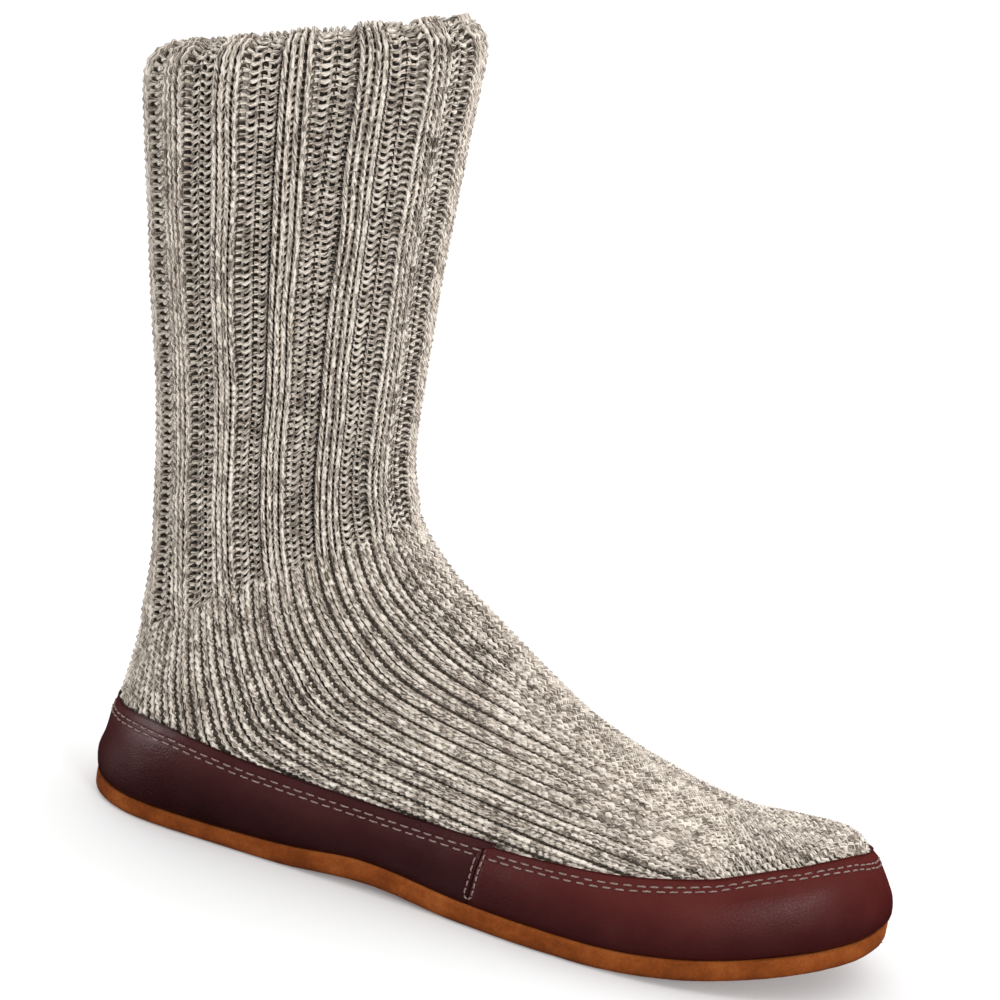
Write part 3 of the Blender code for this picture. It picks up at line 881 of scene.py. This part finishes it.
def rand_relief(s, down, depth, from_end, flap, at_tip):
    """Height of the leather over its plain face: waves, stitch grooves, edges that turn
    in, and the bulge round the heel and the toe."""
    fine, broad = Noise(21), Noise(22)
    height = broad.waves(WAVES, s, down) + fine.waves(CREASES, s, down)
    for row in (0, 1):
        groove = bell(down - row_depth(row, from_end, flap, at_tip), ROW_GROOVE[1])
        height = height - ROW_GROOVE[0] * groove
    below_rows = smooth_step(*COLUMN_TOP, down)
    column = bell(from_end - COLUMN_ASIDE, COLUMN_GROOVE[1]) * below_rows
    height = height - COLUMN_GROOVE[0] * column
    height = height - END_TUCK[0] * fall(from_end, END_TUCK[1], 2)
    height = height - top_tuck(down)
    up = depth - down
    height = height + LOW_BULGE * at_tip * bell(up - BULGE_PLACE[0], BULGE_PLACE[1])
    return height - TUCK * fall(up, TUCK_HEIGHT, 2)


def rand_columns(length):
    """Where the columns of a piece's mesh stand along it: closer near its ends."""
    near = np.array(END_COLUMNS)
    count = int((length - 2 * near[-1] - 2 * RAND_STEP) / RAND_STEP)
    middle = np.linspace(near[-1] + RAND_STEP, length - near[-1] - RAND_STEP, count)
    return np.concatenate([near, middle, length - near[::-1]])[:, None]


def closed_strip(columns_along, ring):
    """Quads of a strip whose columns are closed rings, with both of its ends filled."""
    pair = np.arange(ring // 2 - 1)
    first = np.stack([pair, pair + 1, ring - 2 - pair, ring - 1 - pair], -1)
    last = first[:, ::-1] + (columns_along - 1) * ring
    return np.vstack([ring_quads(columns_along, ring).reshape(-1, 4), first, last])


def make_rand(rand, name, start, end, leans, flap):
    """One leather piece between two places along the sole's line. Each column of its mesh
    runs over the rounded top edge, down the outer face and up the inner one."""
    across = rand_columns(end - start)
    share = across / (end - start)
    base = start + across
    depth = rand.depth(base)
    edge = RAND_WALL / 2
    top_rows = np.arange(edge, TOP_ZONE, TOP_STEP)
    low_rows = np.linspace(0, 1, LOW_ROWS + 1)[1:]
    down = np.hstack([np.broadcast_to(top_rows, (len(base), len(top_rows))),
                      top_rows[-1] + (depth - top_rows[-1]) * low_rows[None, :]])
    from_end = np.minimum(across, end - start - across)
    outer = rand_relief(base + 0 * down, down, depth, from_end, flap, rand.tip_share(base))
    turns = math.pi / 2 + math.pi / 2 * (1 - np.arange(1, EDGE_STEPS + 1) / EDGE_STEPS)
    crown = np.broadcast_to((edge - edge * np.sin(turns))[::-1], (len(base), EDGE_STEPS))
    crown_drop = np.broadcast_to((edge + edge * np.cos(turns))[::-1], crown.shape)
    rows = np.hstack([crown, down])
    dip = np.hstack([crown_drop, 0 * down])
    face = np.hstack([np.broadcast_to(outer[:, :1], crown.shape), outer])
    inner = np.maximum(face, INNER_LOWEST) - (RAND_WALL - dip)
    heights = np.hstack([face - dip, inner[:, ::-1]])
    rows = np.hstack([rows, rows[:, ::-1]])
    s = base + 0 * rows
    reach = 0 * rows + flap * FLAP * smooth_step(FLAP_DEPTH, FLAP_DEPTH - FLAP_CORNER, rows)
    shift = (leans[0] * (1 - share) + leans[1] * share) * rand.lean(s, rows)
    near_end = smooth_step(FLAP_REACH, 0, from_end)
    shift = shift + reach * near_end * np.where(share < 0.5, leans[0], leans[1])
    lowered = (1 - flap) * TOE_EDGE_DROP * smooth_step(TOE_END, TOE_START, from_end)
    points, _ = rand.place(s + shift, rows + lowered * fall(rows, TOE_DROP_DEPTH), heights)
    quads = closed_strip(len(base), rows.shape[1])
    band = np.stack([(s + shift).ravel()[quads], rows.ravel()[quads]], -1)
    piece = mesh_object(name, to_frame(points).reshape(-1, 3), quads, {"band": band})
    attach(piece, "root")
    return piece


# ---------------------------------------------------------------- stitching
THREAD_RADIUS = 0.30
THREAD_CORNERS = tuple(range(90, -270, -45))
STITCH_PITCH = 4.3        # of the rows along the top edge
STITCH_LENGTH = 3.1
COLUMN_PITCH = 2.7        # of the columns beside the side seams
COLUMN_LENGTH = 2.0
COLUMN_STARTS = (ROW_DEPTHS[1] + 0.9, ROW_DEPTHS[0] + 0.7)    # on the heel and toe piece
COLUMN_END = 4.2          # height over the rand's lower edge where they end
COLUMN_LAST = COLUMN_LENGTH * 0.6    # from there up to their last stitch's middle
JOIN_ASIDE = 0.55         # place of the slanting stitches under a seam, in COLUMN_ASIDE
JOIN_DROP = 0.9           # how far under the columns they lie
JOIN_SLANT = (0.8, 0.75)  # their direction, along and down
JOIN_LENGTH = COLUMN_LENGTH * 0.85
ROW_LEAN = 0.85           # how far the rows' ends follow the seams' slant
HEEL_ROW_GAPS = (-0.6, 0.6)    # between the ends of the two rows and the seams
TOE_ROW_GAPS = (1.6, 1.6)
THREAD_RISE = 0.22        # of a stitch's middle over the leather
THREAD_SINK = 0.62        # how far its ends sink in
THREAD_SEAT = 0.15        # how far it is pulled down into its groove
THREAD_STRAY = (0.10, 0.05, 0.05)    # along, down, and as a share of its length
TWIST_SHIFT = 1.7         # how the plies' twist moves on from stitch to stitch
THREAD_MARGIN = 0.02      # share of a stitch's map left empty at each of its ends
THREAD_POINTS = (-1, -0.93, -0.75, -0.35, 0, 0.35, 0.75, 0.93, 1)    # along half a stitch


def row_stitches(rand, start, end, gaps, flap):
    """Places and directions of the stitches along the top edge between two seams: each
    stitch of the lower row lies between two of the upper one."""
    made = []
    length = end - start
    count = round(length / STITCH_PITCH)
    pitch = length / count
    for row, shift in ((0, 0.5), (1, 0.0)):
        for i in range(count + 1):
            across = (i + shift) * pitch
            from_end = min(across, length - across)
            if from_end > gaps[row] + STITCH_LENGTH / 2:
                at_tip = rand.tip_share(start + across)
                down = row_depth(row, from_end, flap, at_tip)
                made.append((start + across, down, 1.0, 0.0, STITCH_LENGTH))
    return made


def seam_stitches(rand, seam, toeward):
    """The two columns beside a side seam, and the slanting stitches that join them under
    it. toeward is 1 where places along the sole's line rise to the toe there, and else -1."""
    made = []
    depth = rand.depth(seam)
    low = depth - COLUMN_END
    bottom = low - COLUMN_LAST
    slant = -SEAM_LEAN / depth * toeward
    for side, first in zip((-toeward, toeward), COLUMN_STARTS):
        top = first + COLUMN_LENGTH / 2
        for down in np.linspace(top, bottom, 1 + round((bottom - top) / COLUMN_PITCH)):
            s = seam + side * COLUMN_ASIDE + toeward * SEAM_LEAN * (1 - down / depth)
            made.append((s, down, slant, 1.0, COLUMN_LENGTH))
        s = seam + side * COLUMN_ASIDE * JOIN_ASIDE + toeward * SEAM_LEAN * (1 - low / depth)
        made.append((s, low + JOIN_DROP, -side * JOIN_SLANT[0], JOIN_SLANT[1], JOIN_LENGTH))
    return made


def make_thread(rand):
    """All the rand's stitches: short tubes with ends that sink into the leather."""
    lean = SEAM_LEAN * ROW_LEAN
    outer, inner = rand.outer_seam + lean, rand.inner_seam - lean
    made = row_stitches(rand, inner, rand.length + outer, HEEL_ROW_GAPS, 1)
    made += row_stitches(rand, outer, inner, TOE_ROW_GAPS, 0)
    made += seam_stitches(rand, rand.outer_seam, 1)
    made += seam_stitches(rand, rand.inner_seam, -1)
    s, down, ds, dd, long = np.array(made).T
    stray = np.random.default_rng(8).normal(0, 1, (len(made), 3))
    s = s + THREAD_STRAY[0] * stray[:, 0]
    down = down + THREAD_STRAY[1] * stray[:, 1]
    size = np.hypot(ds, dd)
    reach = np.array(THREAD_POINTS)[None, :]
    half = (long * (1 + THREAD_STRAY[2] * stray[:, 2]) / 2)[:, None]
    path_s = s[:, None] + (ds / size)[:, None] * half * reach
    path_down = down[:, None] + (dd / size)[:, None] * half * reach
    rise = THREAD_RISE - THREAD_SINK * np.abs(reach) ** 4 - THREAD_SEAT
    rise = rise - top_tuck(path_down)
    points, normals = rand.place(path_s, path_down, rise)
    swell = np.sqrt(np.clip(1 - np.abs(reach) ** 6, 0.003, 1))
    radii = THREAD_RADIUS * MM * swell + 0 * path_s
    along = reach * half + s[:, None] * TWIST_SHIFT
    bake_u = 0.5 + (0.5 - THREAD_MARGIN) * reach + 0 * path_s
    bake_v = np.arange(len(made)) / len(made)
    thread = tubes("rand_thread", to_frame(points), normals, radii, THREAD_CORNERS, along,
                   bake_u, bake_v, 1 / len(made))
    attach(thread, "root")
    return thread


# ---------------------------------------------------------------- sole and footbed
SOLE_NAP = 0.10           # roughness of the suede's edge, mm
NAP_FINE, NAP_BROAD = 1.9, 7    # how far it spreads along the edge
NAP_SHIFT = 0.83          # how the fine nap moves on from ring to ring
MERGE_DISTANCE = 0.02     # mm
EDGE_LEVELS = (0.45, 0.58, 0.70)    # of the rings up the sole's edge
FLEECE_CORNER = 1.0
FLEECE_NAP = 0.1
FLEECE_CURL = (0.15, 3.1)    # height of its curls, and how far they spread
CORNER_STEPS = 5
PLATE_SHARES = (0.06, 0.16, 0.34, 0.56, 0.78, 1.0)   # rings from the edge to the middle


def corner_turns():
    return [math.pi / 2 * i / CORNER_STEPS for i in range(CORNER_STEPS + 1)]


def plate(name, line, rings):
    """A closed plate. A ring is its inset in mm, its share of the way to the middle, a
    function from the points' x to their z, and the size of its nap in mm."""
    normals, centre = level_normals(line), middles(line)
    nap = Noise(31)
    lengths = np.cumsum(np.linalg.norm(line - np.roll(line, 1, axis=0), axis=1))
    layers = []
    for number, (inset, inward, height_at, nap_size) in enumerate(rings):
        fine = nap(lengths / NAP_FINE, number * NAP_SHIFT)
        rough = nap_size * fine + nap_size * nap(lengths / NAP_BROAD, number)
        points = line - normals * (inset - rough)[:, None]
        points = points * (1 - inward) + centre * inward
        points[:, 2] = height_at(points[:, 0])
        layers.append(points)
    count = len(line)
    quads = ring_quads(len(layers), count)[..., [0, 3, 2, 1]].reshape(-1, 4)
    across = np.repeat(np.arange(len(layers)) / (len(layers) - 1), count)
    edge = np.stack([np.tile(lengths, len(layers))[quads], across[quads]], -1)
    piece = mesh_object(name, to_frame(np.array(layers)).reshape(-1, 3), quads, {"edge": edge})
    work = bmesh.new()
    work.from_mesh(piece.data)
    bmesh.ops.remove_doubles(work, verts=work.verts[:], dist=MERGE_DISTANCE * MM)
    bmesh.ops.recalc_face_normals(work, faces=work.faces[:])
    work.to_mesh(piece.data)
    work.free()
    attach(piece, "root")
    return piece


def rounded(radius, turn):
    """Inset of a round corner at a turn from its flat side, and its height lost there."""
    return radius * (1 - math.sin(turn)), radius * (1 - math.cos(turn))


def make_sole():
    line = softened(sole_line(KNIT_WALL + FIT_GAP + RAND_WALL + SOLE_SHOW))

    def level(share):
        return lambda x: sole_bottom(x) * (1 - share) + sole_top(x) * share

    rings = [(SOLE_CORNER, inward, level(0), 0.0) for inward in PLATE_SHARES[::-1]]
    for turn in corner_turns():
        inset, rise = rounded(SOLE_CORNER, turn)
        rings.append((inset, 0, level(rise / SOLE_EDGE), SOLE_NAP))
    rings += [(0.0, 0, level(share), SOLE_NAP) for share in EDGE_LEVELS]
    for turn in corner_turns()[::-1]:
        inset, drop = rounded(SOLE_TOP_CORNER, turn)
        rings.append((inset, 0, level(1 - drop / SOLE_EDGE), SOLE_NAP))
    rings += [(SOLE_TOP_CORNER, inward, level(1), 0.0) for inward in PLATE_SHARES]
    piece = plate("suede_sole", line, rings)
    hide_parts("outsole")
    return piece


def make_footbed():
    line = sole_line(-FOOTBED_GAP)
    fleece = Noise(33)

    def over_sole(height, curl=0.0):
        return lambda x: (sole_top(x) + FIT_GAP + height
                          + curl * fleece(x / FLEECE_CURL[1], height + x * 0))

    rings = [(0.0, inward, over_sole(0.0), 0.0) for inward in PLATE_SHARES[::-1]]
    rings.append((0.0, 0, over_sole(0.0), FLEECE_NAP))
    for turn in corner_turns()[::-1]:
        inset = FLEECE_CORNER * (1 - math.sin(turn))
        top = FOOTBED_THICKNESS - FLEECE_CORNER + FLEECE_CORNER * math.cos(turn)
        rings.append((inset, 0, over_sole(top), FLEECE_NAP))
    rings += [(FLEECE_CORNER, inward, over_sole(FOOTBED_THICKNESS, FLEECE_CURL[0]), 0.0)
              for inward in PLATE_SHARES]
    piece = plate("fleece_footbed", line, rings)
    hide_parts("insole")
    return piece


# ---------------------------------------------------------------- materials
def new_material(name):
    made = bpy.data.materials.new(name)
    made.use_nodes = True
    tree = made.node_tree
    return made, tree, tree.nodes["Principled BSDF"]


def node(tree, kind, **settings):
    made = tree.nodes.new(kind)
    for key, value in settings.items():
        setattr(made, key, value)
    return made


def math_node(tree, operation, first, second=None):
    made = node(tree, "ShaderNodeMath", operation=operation)
    for socket, value in zip(made.inputs, (first, second)):
        if isinstance(value, (int, float)):
            socket.default_value = value
        elif value is not None:
            tree.links.new(value, socket)
    return made.outputs[0]


def sine(tree, value, turns):
    """Sine of a value that goes through so many turns a unit."""
    return math_node(tree, "SINE", math_node(tree, "MULTIPLY", value, 2 * math.pi * turns))


def noise_node(tree, scale, detail, vector=None, roughness=0.5):
    made = node(tree, "ShaderNodeTexNoise")
    made.inputs["Scale"].default_value = scale
    made.inputs["Detail"].default_value = detail
    made.inputs["Roughness"].default_value = roughness
    if vector is not None:
        tree.links.new(vector, made.inputs["Vector"])
    return made.outputs["Fac"]


def ramp(tree, value, stops):
    made = node(tree, "ShaderNodeValToRGB")
    while len(made.color_ramp.elements) < len(stops):
        made.color_ramp.elements.new(0.5)
    for element, (position, colour) in zip(made.color_ramp.elements, stops):
        element.position = position
        element.color = (*colour, 1)
    tree.links.new(value, made.inputs["Fac"])
    return made.outputs["Color"]


def object_place(tree):
    return node(tree, "ShaderNodeTexCoord").outputs["Object"]


def map_parts(tree, name):
    """The two coordinates of a piece's own map."""
    split = node(tree, "ShaderNodeSeparateXYZ")
    tree.links.new(node(tree, "ShaderNodeUVMap", uv_map=name).outputs["UV"], split.inputs[0])
    return split.outputs["X"], split.outputs["Y"]


def add_bump(tree, shader, height, distance, strength=1.0):
    bump = node(tree, "ShaderNodeBump")
    bump.inputs["Strength"].default_value = strength
    bump.inputs["Distance"].default_value = distance
    tree.links.new(height, bump.inputs["Height"])
    tree.links.new(bump.outputs["Normal"], shader.inputs["Normal"])


def set_surface(tree, shader, colour, roughness, specular=0.5, sheen=0.0):
    """Links the colour, and sets the shader's constant values on its own sockets."""
    tree.links.new(colour, shader.inputs["Base Color"])
    shader.inputs["Roughness"].default_value = roughness
    shader.inputs["Specular IOR Level"].default_value = specular
    shader.inputs["Sheen Weight"].default_value = sheen


def weighted(tree, *terms):
    """Sum of outputs times their weights."""
    total = None
    for value, weight in terms:
        part = math_node(tree, "MULTIPLY", value, weight)
        total = part if total is None else math_node(tree, "ADD", total, part)
    return total


def limits(tree, value, low, high, to_low=0.0, to_high=1.0):
    made = node(tree, "ShaderNodeMapRange")
    for name, number in (("From Min", low), ("From Max", high),
                         ("To Min", to_low), ("To Max", to_high)):
        made.inputs[name].default_value = number
    tree.links.new(value, made.inputs["Value"])
    return made.outputs["Result"]


YARN_TWIST = 13.0         # mm of yarn in one turn of its plies
FLECK_STRETCH = 0.36      # how short the flecks are along the plies, against their width

# Colours, each with its place on its material's ramp
WOOL_COLOURS = [(0.65, (0.050, 0.037, 0.028)), (0.76, (0.18, 0.142, 0.113)),
                (0.885, (0.52, 0.455, 0.386)), (1.02, (0.83, 0.760, 0.675))]
THREAD_COLOURS = [(0.2, (0.15, 0.085, 0.075)), (0.6, (0.38, 0.27, 0.24))]
SUEDE_COLOURS = [(0.28, (0.10, 0.024, 0.006)), (0.52, (0.215, 0.053, 0.011)),
                 (0.78, (0.345, 0.105, 0.026))]
FLEECE_COLOURS = [(0.35, (0.30, 0.22, 0.14)), (0.7, (0.62, 0.50, 0.36))]
HEEL_COLOURS = [(0.20, (0.017, 0.0022, 0.0030)), (0.48, (0.038, 0.0048, 0.0052)),
                (0.85, (0.074, 0.0150, 0.0145))]
TOE_COLOURS = [(0.20, (0.022, 0.0028, 0.0034)), (0.48, (0.046, 0.0050, 0.0050)),
               (0.85, (0.095, 0.0125, 0.0100))]


def wool():
    """Cream yarn marled with dark flecks that follow its twist, and heathered patches."""
    made, tree, shader = new_material("marled_wool")
    along, share = map_parts(tree, "yarn")
    place = object_place(tree)
    patch = noise_node(tree, 240, 2, place)
    blotch = noise_node(tree, 75, 2, place)
    turn = weighted(tree, (share, 2 * math.pi), (along, 2 * math.pi / YARN_TWIST))
    lie = node(tree, "ShaderNodeCombineXYZ")
    for socket, value in zip(lie.inputs, (math_node(tree, "MULTIPLY", along, FLECK_STRETCH),
                                          math_node(tree, "COSINE", turn),
                                          math_node(tree, "SINE", turn))):
        tree.links.new(value, socket)
    fleck = noise_node(tree, 1.25, 2, lie.outputs[0])
    fibre = noise_node(tree, 2600, 3, place, 0.7)
    shade = weighted(tree, (fleck, 1.0), (fibre, 0.30), (patch, 0.30), (blotch, 0.14))
    set_surface(tree, shader, ramp(tree, shade, WOOL_COLOURS), 0.95, 0.2, 0.2)
    add_bump(tree, shader, weighted(tree, (fleck, 1.2), (fibre, 0.8)), 0.0004, 0.5)
    return made


def back_wool(name, scale, dark, light):
    """The knit's backing, with the backs of its stitches, mottled between two colours."""
    made, tree, shader = new_material(name)
    wale, course = map_parts(tree, "knit")
    rows, legs = sine(tree, course, 1), sine(tree, wale, 2)
    fleck = noise_node(tree, scale, 3, object_place(tree))
    shade = weighted(tree, (rows, 0.12), (legs, 0.06), (fleck, 1.0))
    set_surface(tree, shader, ramp(tree, shade, [(0.3, dark), (0.7, light)]), 1.0, 0.1)
    add_bump(tree, shader, shade, 0.0008)
    return made


def leather(name, colours, painted_shade_x, painted_light_x):
    """Smooth full-grain leather with slow changes of tone, and painted shade and light: painted
    shade makes it darker towards the sole and, along the shoe, towards its first given x, and
    painted light makes it paler towards its second."""
    made, tree, shader = new_material(name)
    place = object_place(tree)
    _, down = map_parts(tree, "band")
    split = node(tree, "ShaderNodeSeparateXYZ")
    tree.links.new(place, split.inputs[0])
    # Painted shade and light along the shoe: darker at the first given x, paler at the second.
    bright = limits(tree, split.outputs["X"], painted_shade_x, painted_light_x)
    slow = noise_node(tree, 16, 2, place)
    cloud = noise_node(tree, 70, 3, place)
    pores = noise_node(tree, 1500, 2, place, 0.6)
    crease = node(tree, "ShaderNodeTexVoronoi", feature="DISTANCE_TO_EDGE")
    crease.inputs["Scale"].default_value = 820
    tree.links.new(place, crease.inputs["Vector"])
    grain = limits(tree, crease.outputs["Distance"], 0.0, 0.12)
    # Painted shade: the leather gets darker towards the sole.
    low = limits(tree, down, 6.0, 27.0)
    shade = weighted(tree, (slow, 0.6), (cloud, 0.25), (pores, 0.12), (low, -0.36), (bright, 0.30))
    set_surface(tree, shader, ramp(tree, shade, colours), 0.5, 0.22)
    rough = weighted(tree, (cloud, 0.20), (pores, 0.10))
    tree.links.new(math_node(tree, "ADD", rough, 0.28), shader.inputs["Roughness"])
    add_bump(tree, shader, weighted(tree, (grain, 0.5), (pores, 0.8), (cloud, 1.5)), 0.00016, 0.4)
    return made


def thread_cotton():
    """Waxed sewing thread of three plies."""
    made, tree, shader = new_material("waxed_thread")
    along, share = map_parts(tree, "yarn")
    wave = sine(tree, weighted(tree, (share, 3.0), (along, 0.9)), 1)
    fuzz = noise_node(tree, 1800, 2, object_place(tree))
    shade = weighted(tree, (wave, 0.16), (fuzz, 0.9))
    set_surface(tree, shader, ramp(tree, shade, THREAD_COLOURS), 0.6)
    add_bump(tree, shader, wave, 0.0001)
    return made


def suede():
    """Brushed suede with a mottled nap, with painted light at its top edge and painted shade low
    down.
    """
    made, tree, shader = new_material("sole_suede")
    place = object_place(tree)
    _, up = map_parts(tree, "edge")
    patch = noise_node(tree, 85, 4, place, 0.6)
    nap = noise_node(tree, 900, 4, place, 0.7)
    # Painted light on the top edge, and painted shade on the lower edge and underside.
    painted_light_top = limits(tree, up, 0.62, 0.74)
    painted_shade_under = limits(tree, up, 0.30, 0.48, 1.0, 0.0)
    shade = weighted(tree, (patch, 0.75), (nap, 0.30), (painted_light_top, 0.14), (painted_shade_under, -0.16))
    set_surface(tree, shader, ramp(tree, shade, SUEDE_COLOURS), 1.0, 0.05)
    add_bump(tree, shader, nap, 0.0006, 0.7)
    return made


def fleece():
    """Curly cream fleece, a little uneven in tone."""
    made, tree, shader = new_material("footbed_fleece")
    place = object_place(tree)
    curl = noise_node(tree, 330, 4, place, 0.7)
    patch = noise_node(tree, 45, 2, place)
    shade = weighted(tree, (curl, 0.7), (patch, 0.4))
    set_surface(tree, shader, ramp(tree, shade, FLEECE_COLOURS), 1.0, sheen=0.3)
    add_bump(tree, shader, curl, 0.0015)
    return made


def floor_paint():
    """Matt near-white with a faint glow, so that the floor fades into the surroundings."""
    made, _, shader = new_material("floor")
    shader.inputs["Base Color"].default_value = (*FLOOR_GREY, 1)
    shader.inputs["Roughness"].default_value = 1.0
    shader.inputs["Specular IOR Level"].default_value = 0.0
    shader.inputs["Emission Color"].default_value = (1, 1, 1, 1)
    shader.inputs["Emission Strength"].default_value = FLOOR_GLOW
    return made


# ---------------------------------------------------------------- camera and light
CAMERA_TURN = 14.0        # degrees from straight across the shoe, towards the toe
CAMERA_RISE = 15.0
CAMERA_ROLL = 9.2
CAMERA_DISTANCE = 0.8
CAMERA_TARGET = (-0.0072, 0.00105, 0.1292)
CAMERA_LENS = 87.16
CAMERA_SENSOR = 36


def make_camera():
    turn, rise, roll = (math.radians(v) for v in (CAMERA_TURN, CAMERA_RISE, CAMERA_ROLL))
    back = Vector((math.sin(turn) * math.cos(rise), -math.cos(turn) * math.cos(rise),
                   math.sin(rise)))
    right = Vector((math.cos(turn), math.sin(turn), 0))
    up = back.cross(right)
    rolled_right = right * math.cos(roll) + up * math.sin(roll)
    rolled_up = up * math.cos(roll) - right * math.sin(roll)
    data = bpy.data.cameras.new("camera")
    data.lens = CAMERA_LENS
    data.sensor_width = CAMERA_SENSOR
    data.clip_start = 0.01
    made = new_object("camera", data)
    turned = Matrix((rolled_right, rolled_up, back)).transposed().to_4x4()
    made.matrix_world = Matrix.Translation(Vector(CAMERA_TARGET) + back * CAMERA_DISTANCE) @ turned
    bpy.context.scene.camera = made


def area_light(name, place, aim, size, power, gloss_only):
    data = bpy.data.lights.new(name, "AREA")
    data.shape = "DISK"
    data.size = size
    data.energy = power
    made = new_object(name, data)
    made.location = place
    made.rotation_euler = (Vector(aim) - Vector(place)).to_track_quat("-Z", "Y").to_euler()
    made.visible_diffuse = not gloss_only


SKY_FRONT = 0.17          # brightness of the world on the camera's side
SKY_BACK = 1.35
SKY_TOP = 0.72            # how much brighter it is overhead
SKY_SIDES = (-0.5, 0.4)   # where the front ends and the back starts, along y
SKY_HEIGHTS = (0.15, 0.75)    # where overhead starts and is full
FLOOR_REACH = 6.0
FLOOR_GREY = (0.66, 0.66, 0.66)
FLOOR_GLOW = 0.17
LIGHTS = [
    # name, place, aim, size, power, seen in glossy surfaces only
    ("left", (-0.95, -0.60, 0.85), (-0.05, 0, 0.20), 0.40, 3, False),
    ("heel gloss", (-1.03, -0.50, 0.07), (-0.12, 0, 0.03), 0.40, 9, True),
    ("right", (0.95, -1.00, 0.60), (0.06, 0, 0.12), 0.45, 9, False),
]


def make_world():
    """White surroundings that are dim in front of the shoe and brighter overhead."""
    world = bpy.data.worlds.new("studio")
    bpy.context.scene.world = world
    world.use_nodes = True
    tree = world.node_tree
    split = node(tree, "ShaderNodeSeparateXYZ")
    tree.links.new(node(tree, "ShaderNodeTexCoord").outputs["Generated"], split.inputs[0])
    level = limits(tree, split.outputs["Y"], *SKY_SIDES, SKY_FRONT, SKY_BACK)
    high = limits(tree, split.outputs["Z"], *SKY_HEIGHTS, 0.0, SKY_TOP)
    bright = math_node(tree, "ADD", level, high)
    tree.links.new(bright, tree.nodes["Background"].inputs["Strength"])
    tree.nodes["Background"].inputs["Color"].default_value = (1, 1, 1, 1)
    world.cycles_visibility.glossy = False


def make_floor():
    mesh = bpy.data.meshes.new("floor")
    sides = ((-1, -1), (1, -1), (1, 1), (-1, 1))
    corners = [(x * FLOOR_REACH, y * FLOOR_REACH, 0) for x, y in sides]
    mesh.from_pydata(corners, [], [(0, 1, 2, 3)])
    mesh.materials.append(floor_paint())
    floor = new_object("floor", mesh)
    floor.visible_glossy = False


def make_studio():
    make_world()
    for light in LIGHTS:
        area_light(*light)
    make_floor()
    bpy.context.scene.view_settings.view_transform = "Standard"


def main():
    make_camera()
    make_studio()
    fabric = Fabric()
    make_ground(fabric)
    yarn_material = wool()
    for name, first, last in YARN_SPANS:
        make_yarn(fabric, name, first, last).data.materials.append(yarn_material)
    rand = Rand()
    heel = make_rand(rand, "leather_heel", rand.inner_seam, rand.length + rand.outer_seam,
                     (-1, 1), 1)
    toe = make_rand(rand, "leather_toe", rand.outer_seam + SEAM_GAP, rand.inner_seam - SEAM_GAP,
                    (1, -1), 0)
    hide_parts("rand_heel")
    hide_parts("rand_toe")
    # The two x given to each piece are where its painted shade and its painted light fall.
    heel.data.materials.append(leather("oxblood_heel", HEEL_COLOURS, 0.010, -0.130))
    toe.data.materials.append(leather("oxblood_toe", TOE_COLOURS, -0.070, 0.140))
    make_thread(rand).data.materials.append(thread_cotton())
    make_sole().data.materials.append(suede())
    make_footbed().data.materials.append(fleece())


main()
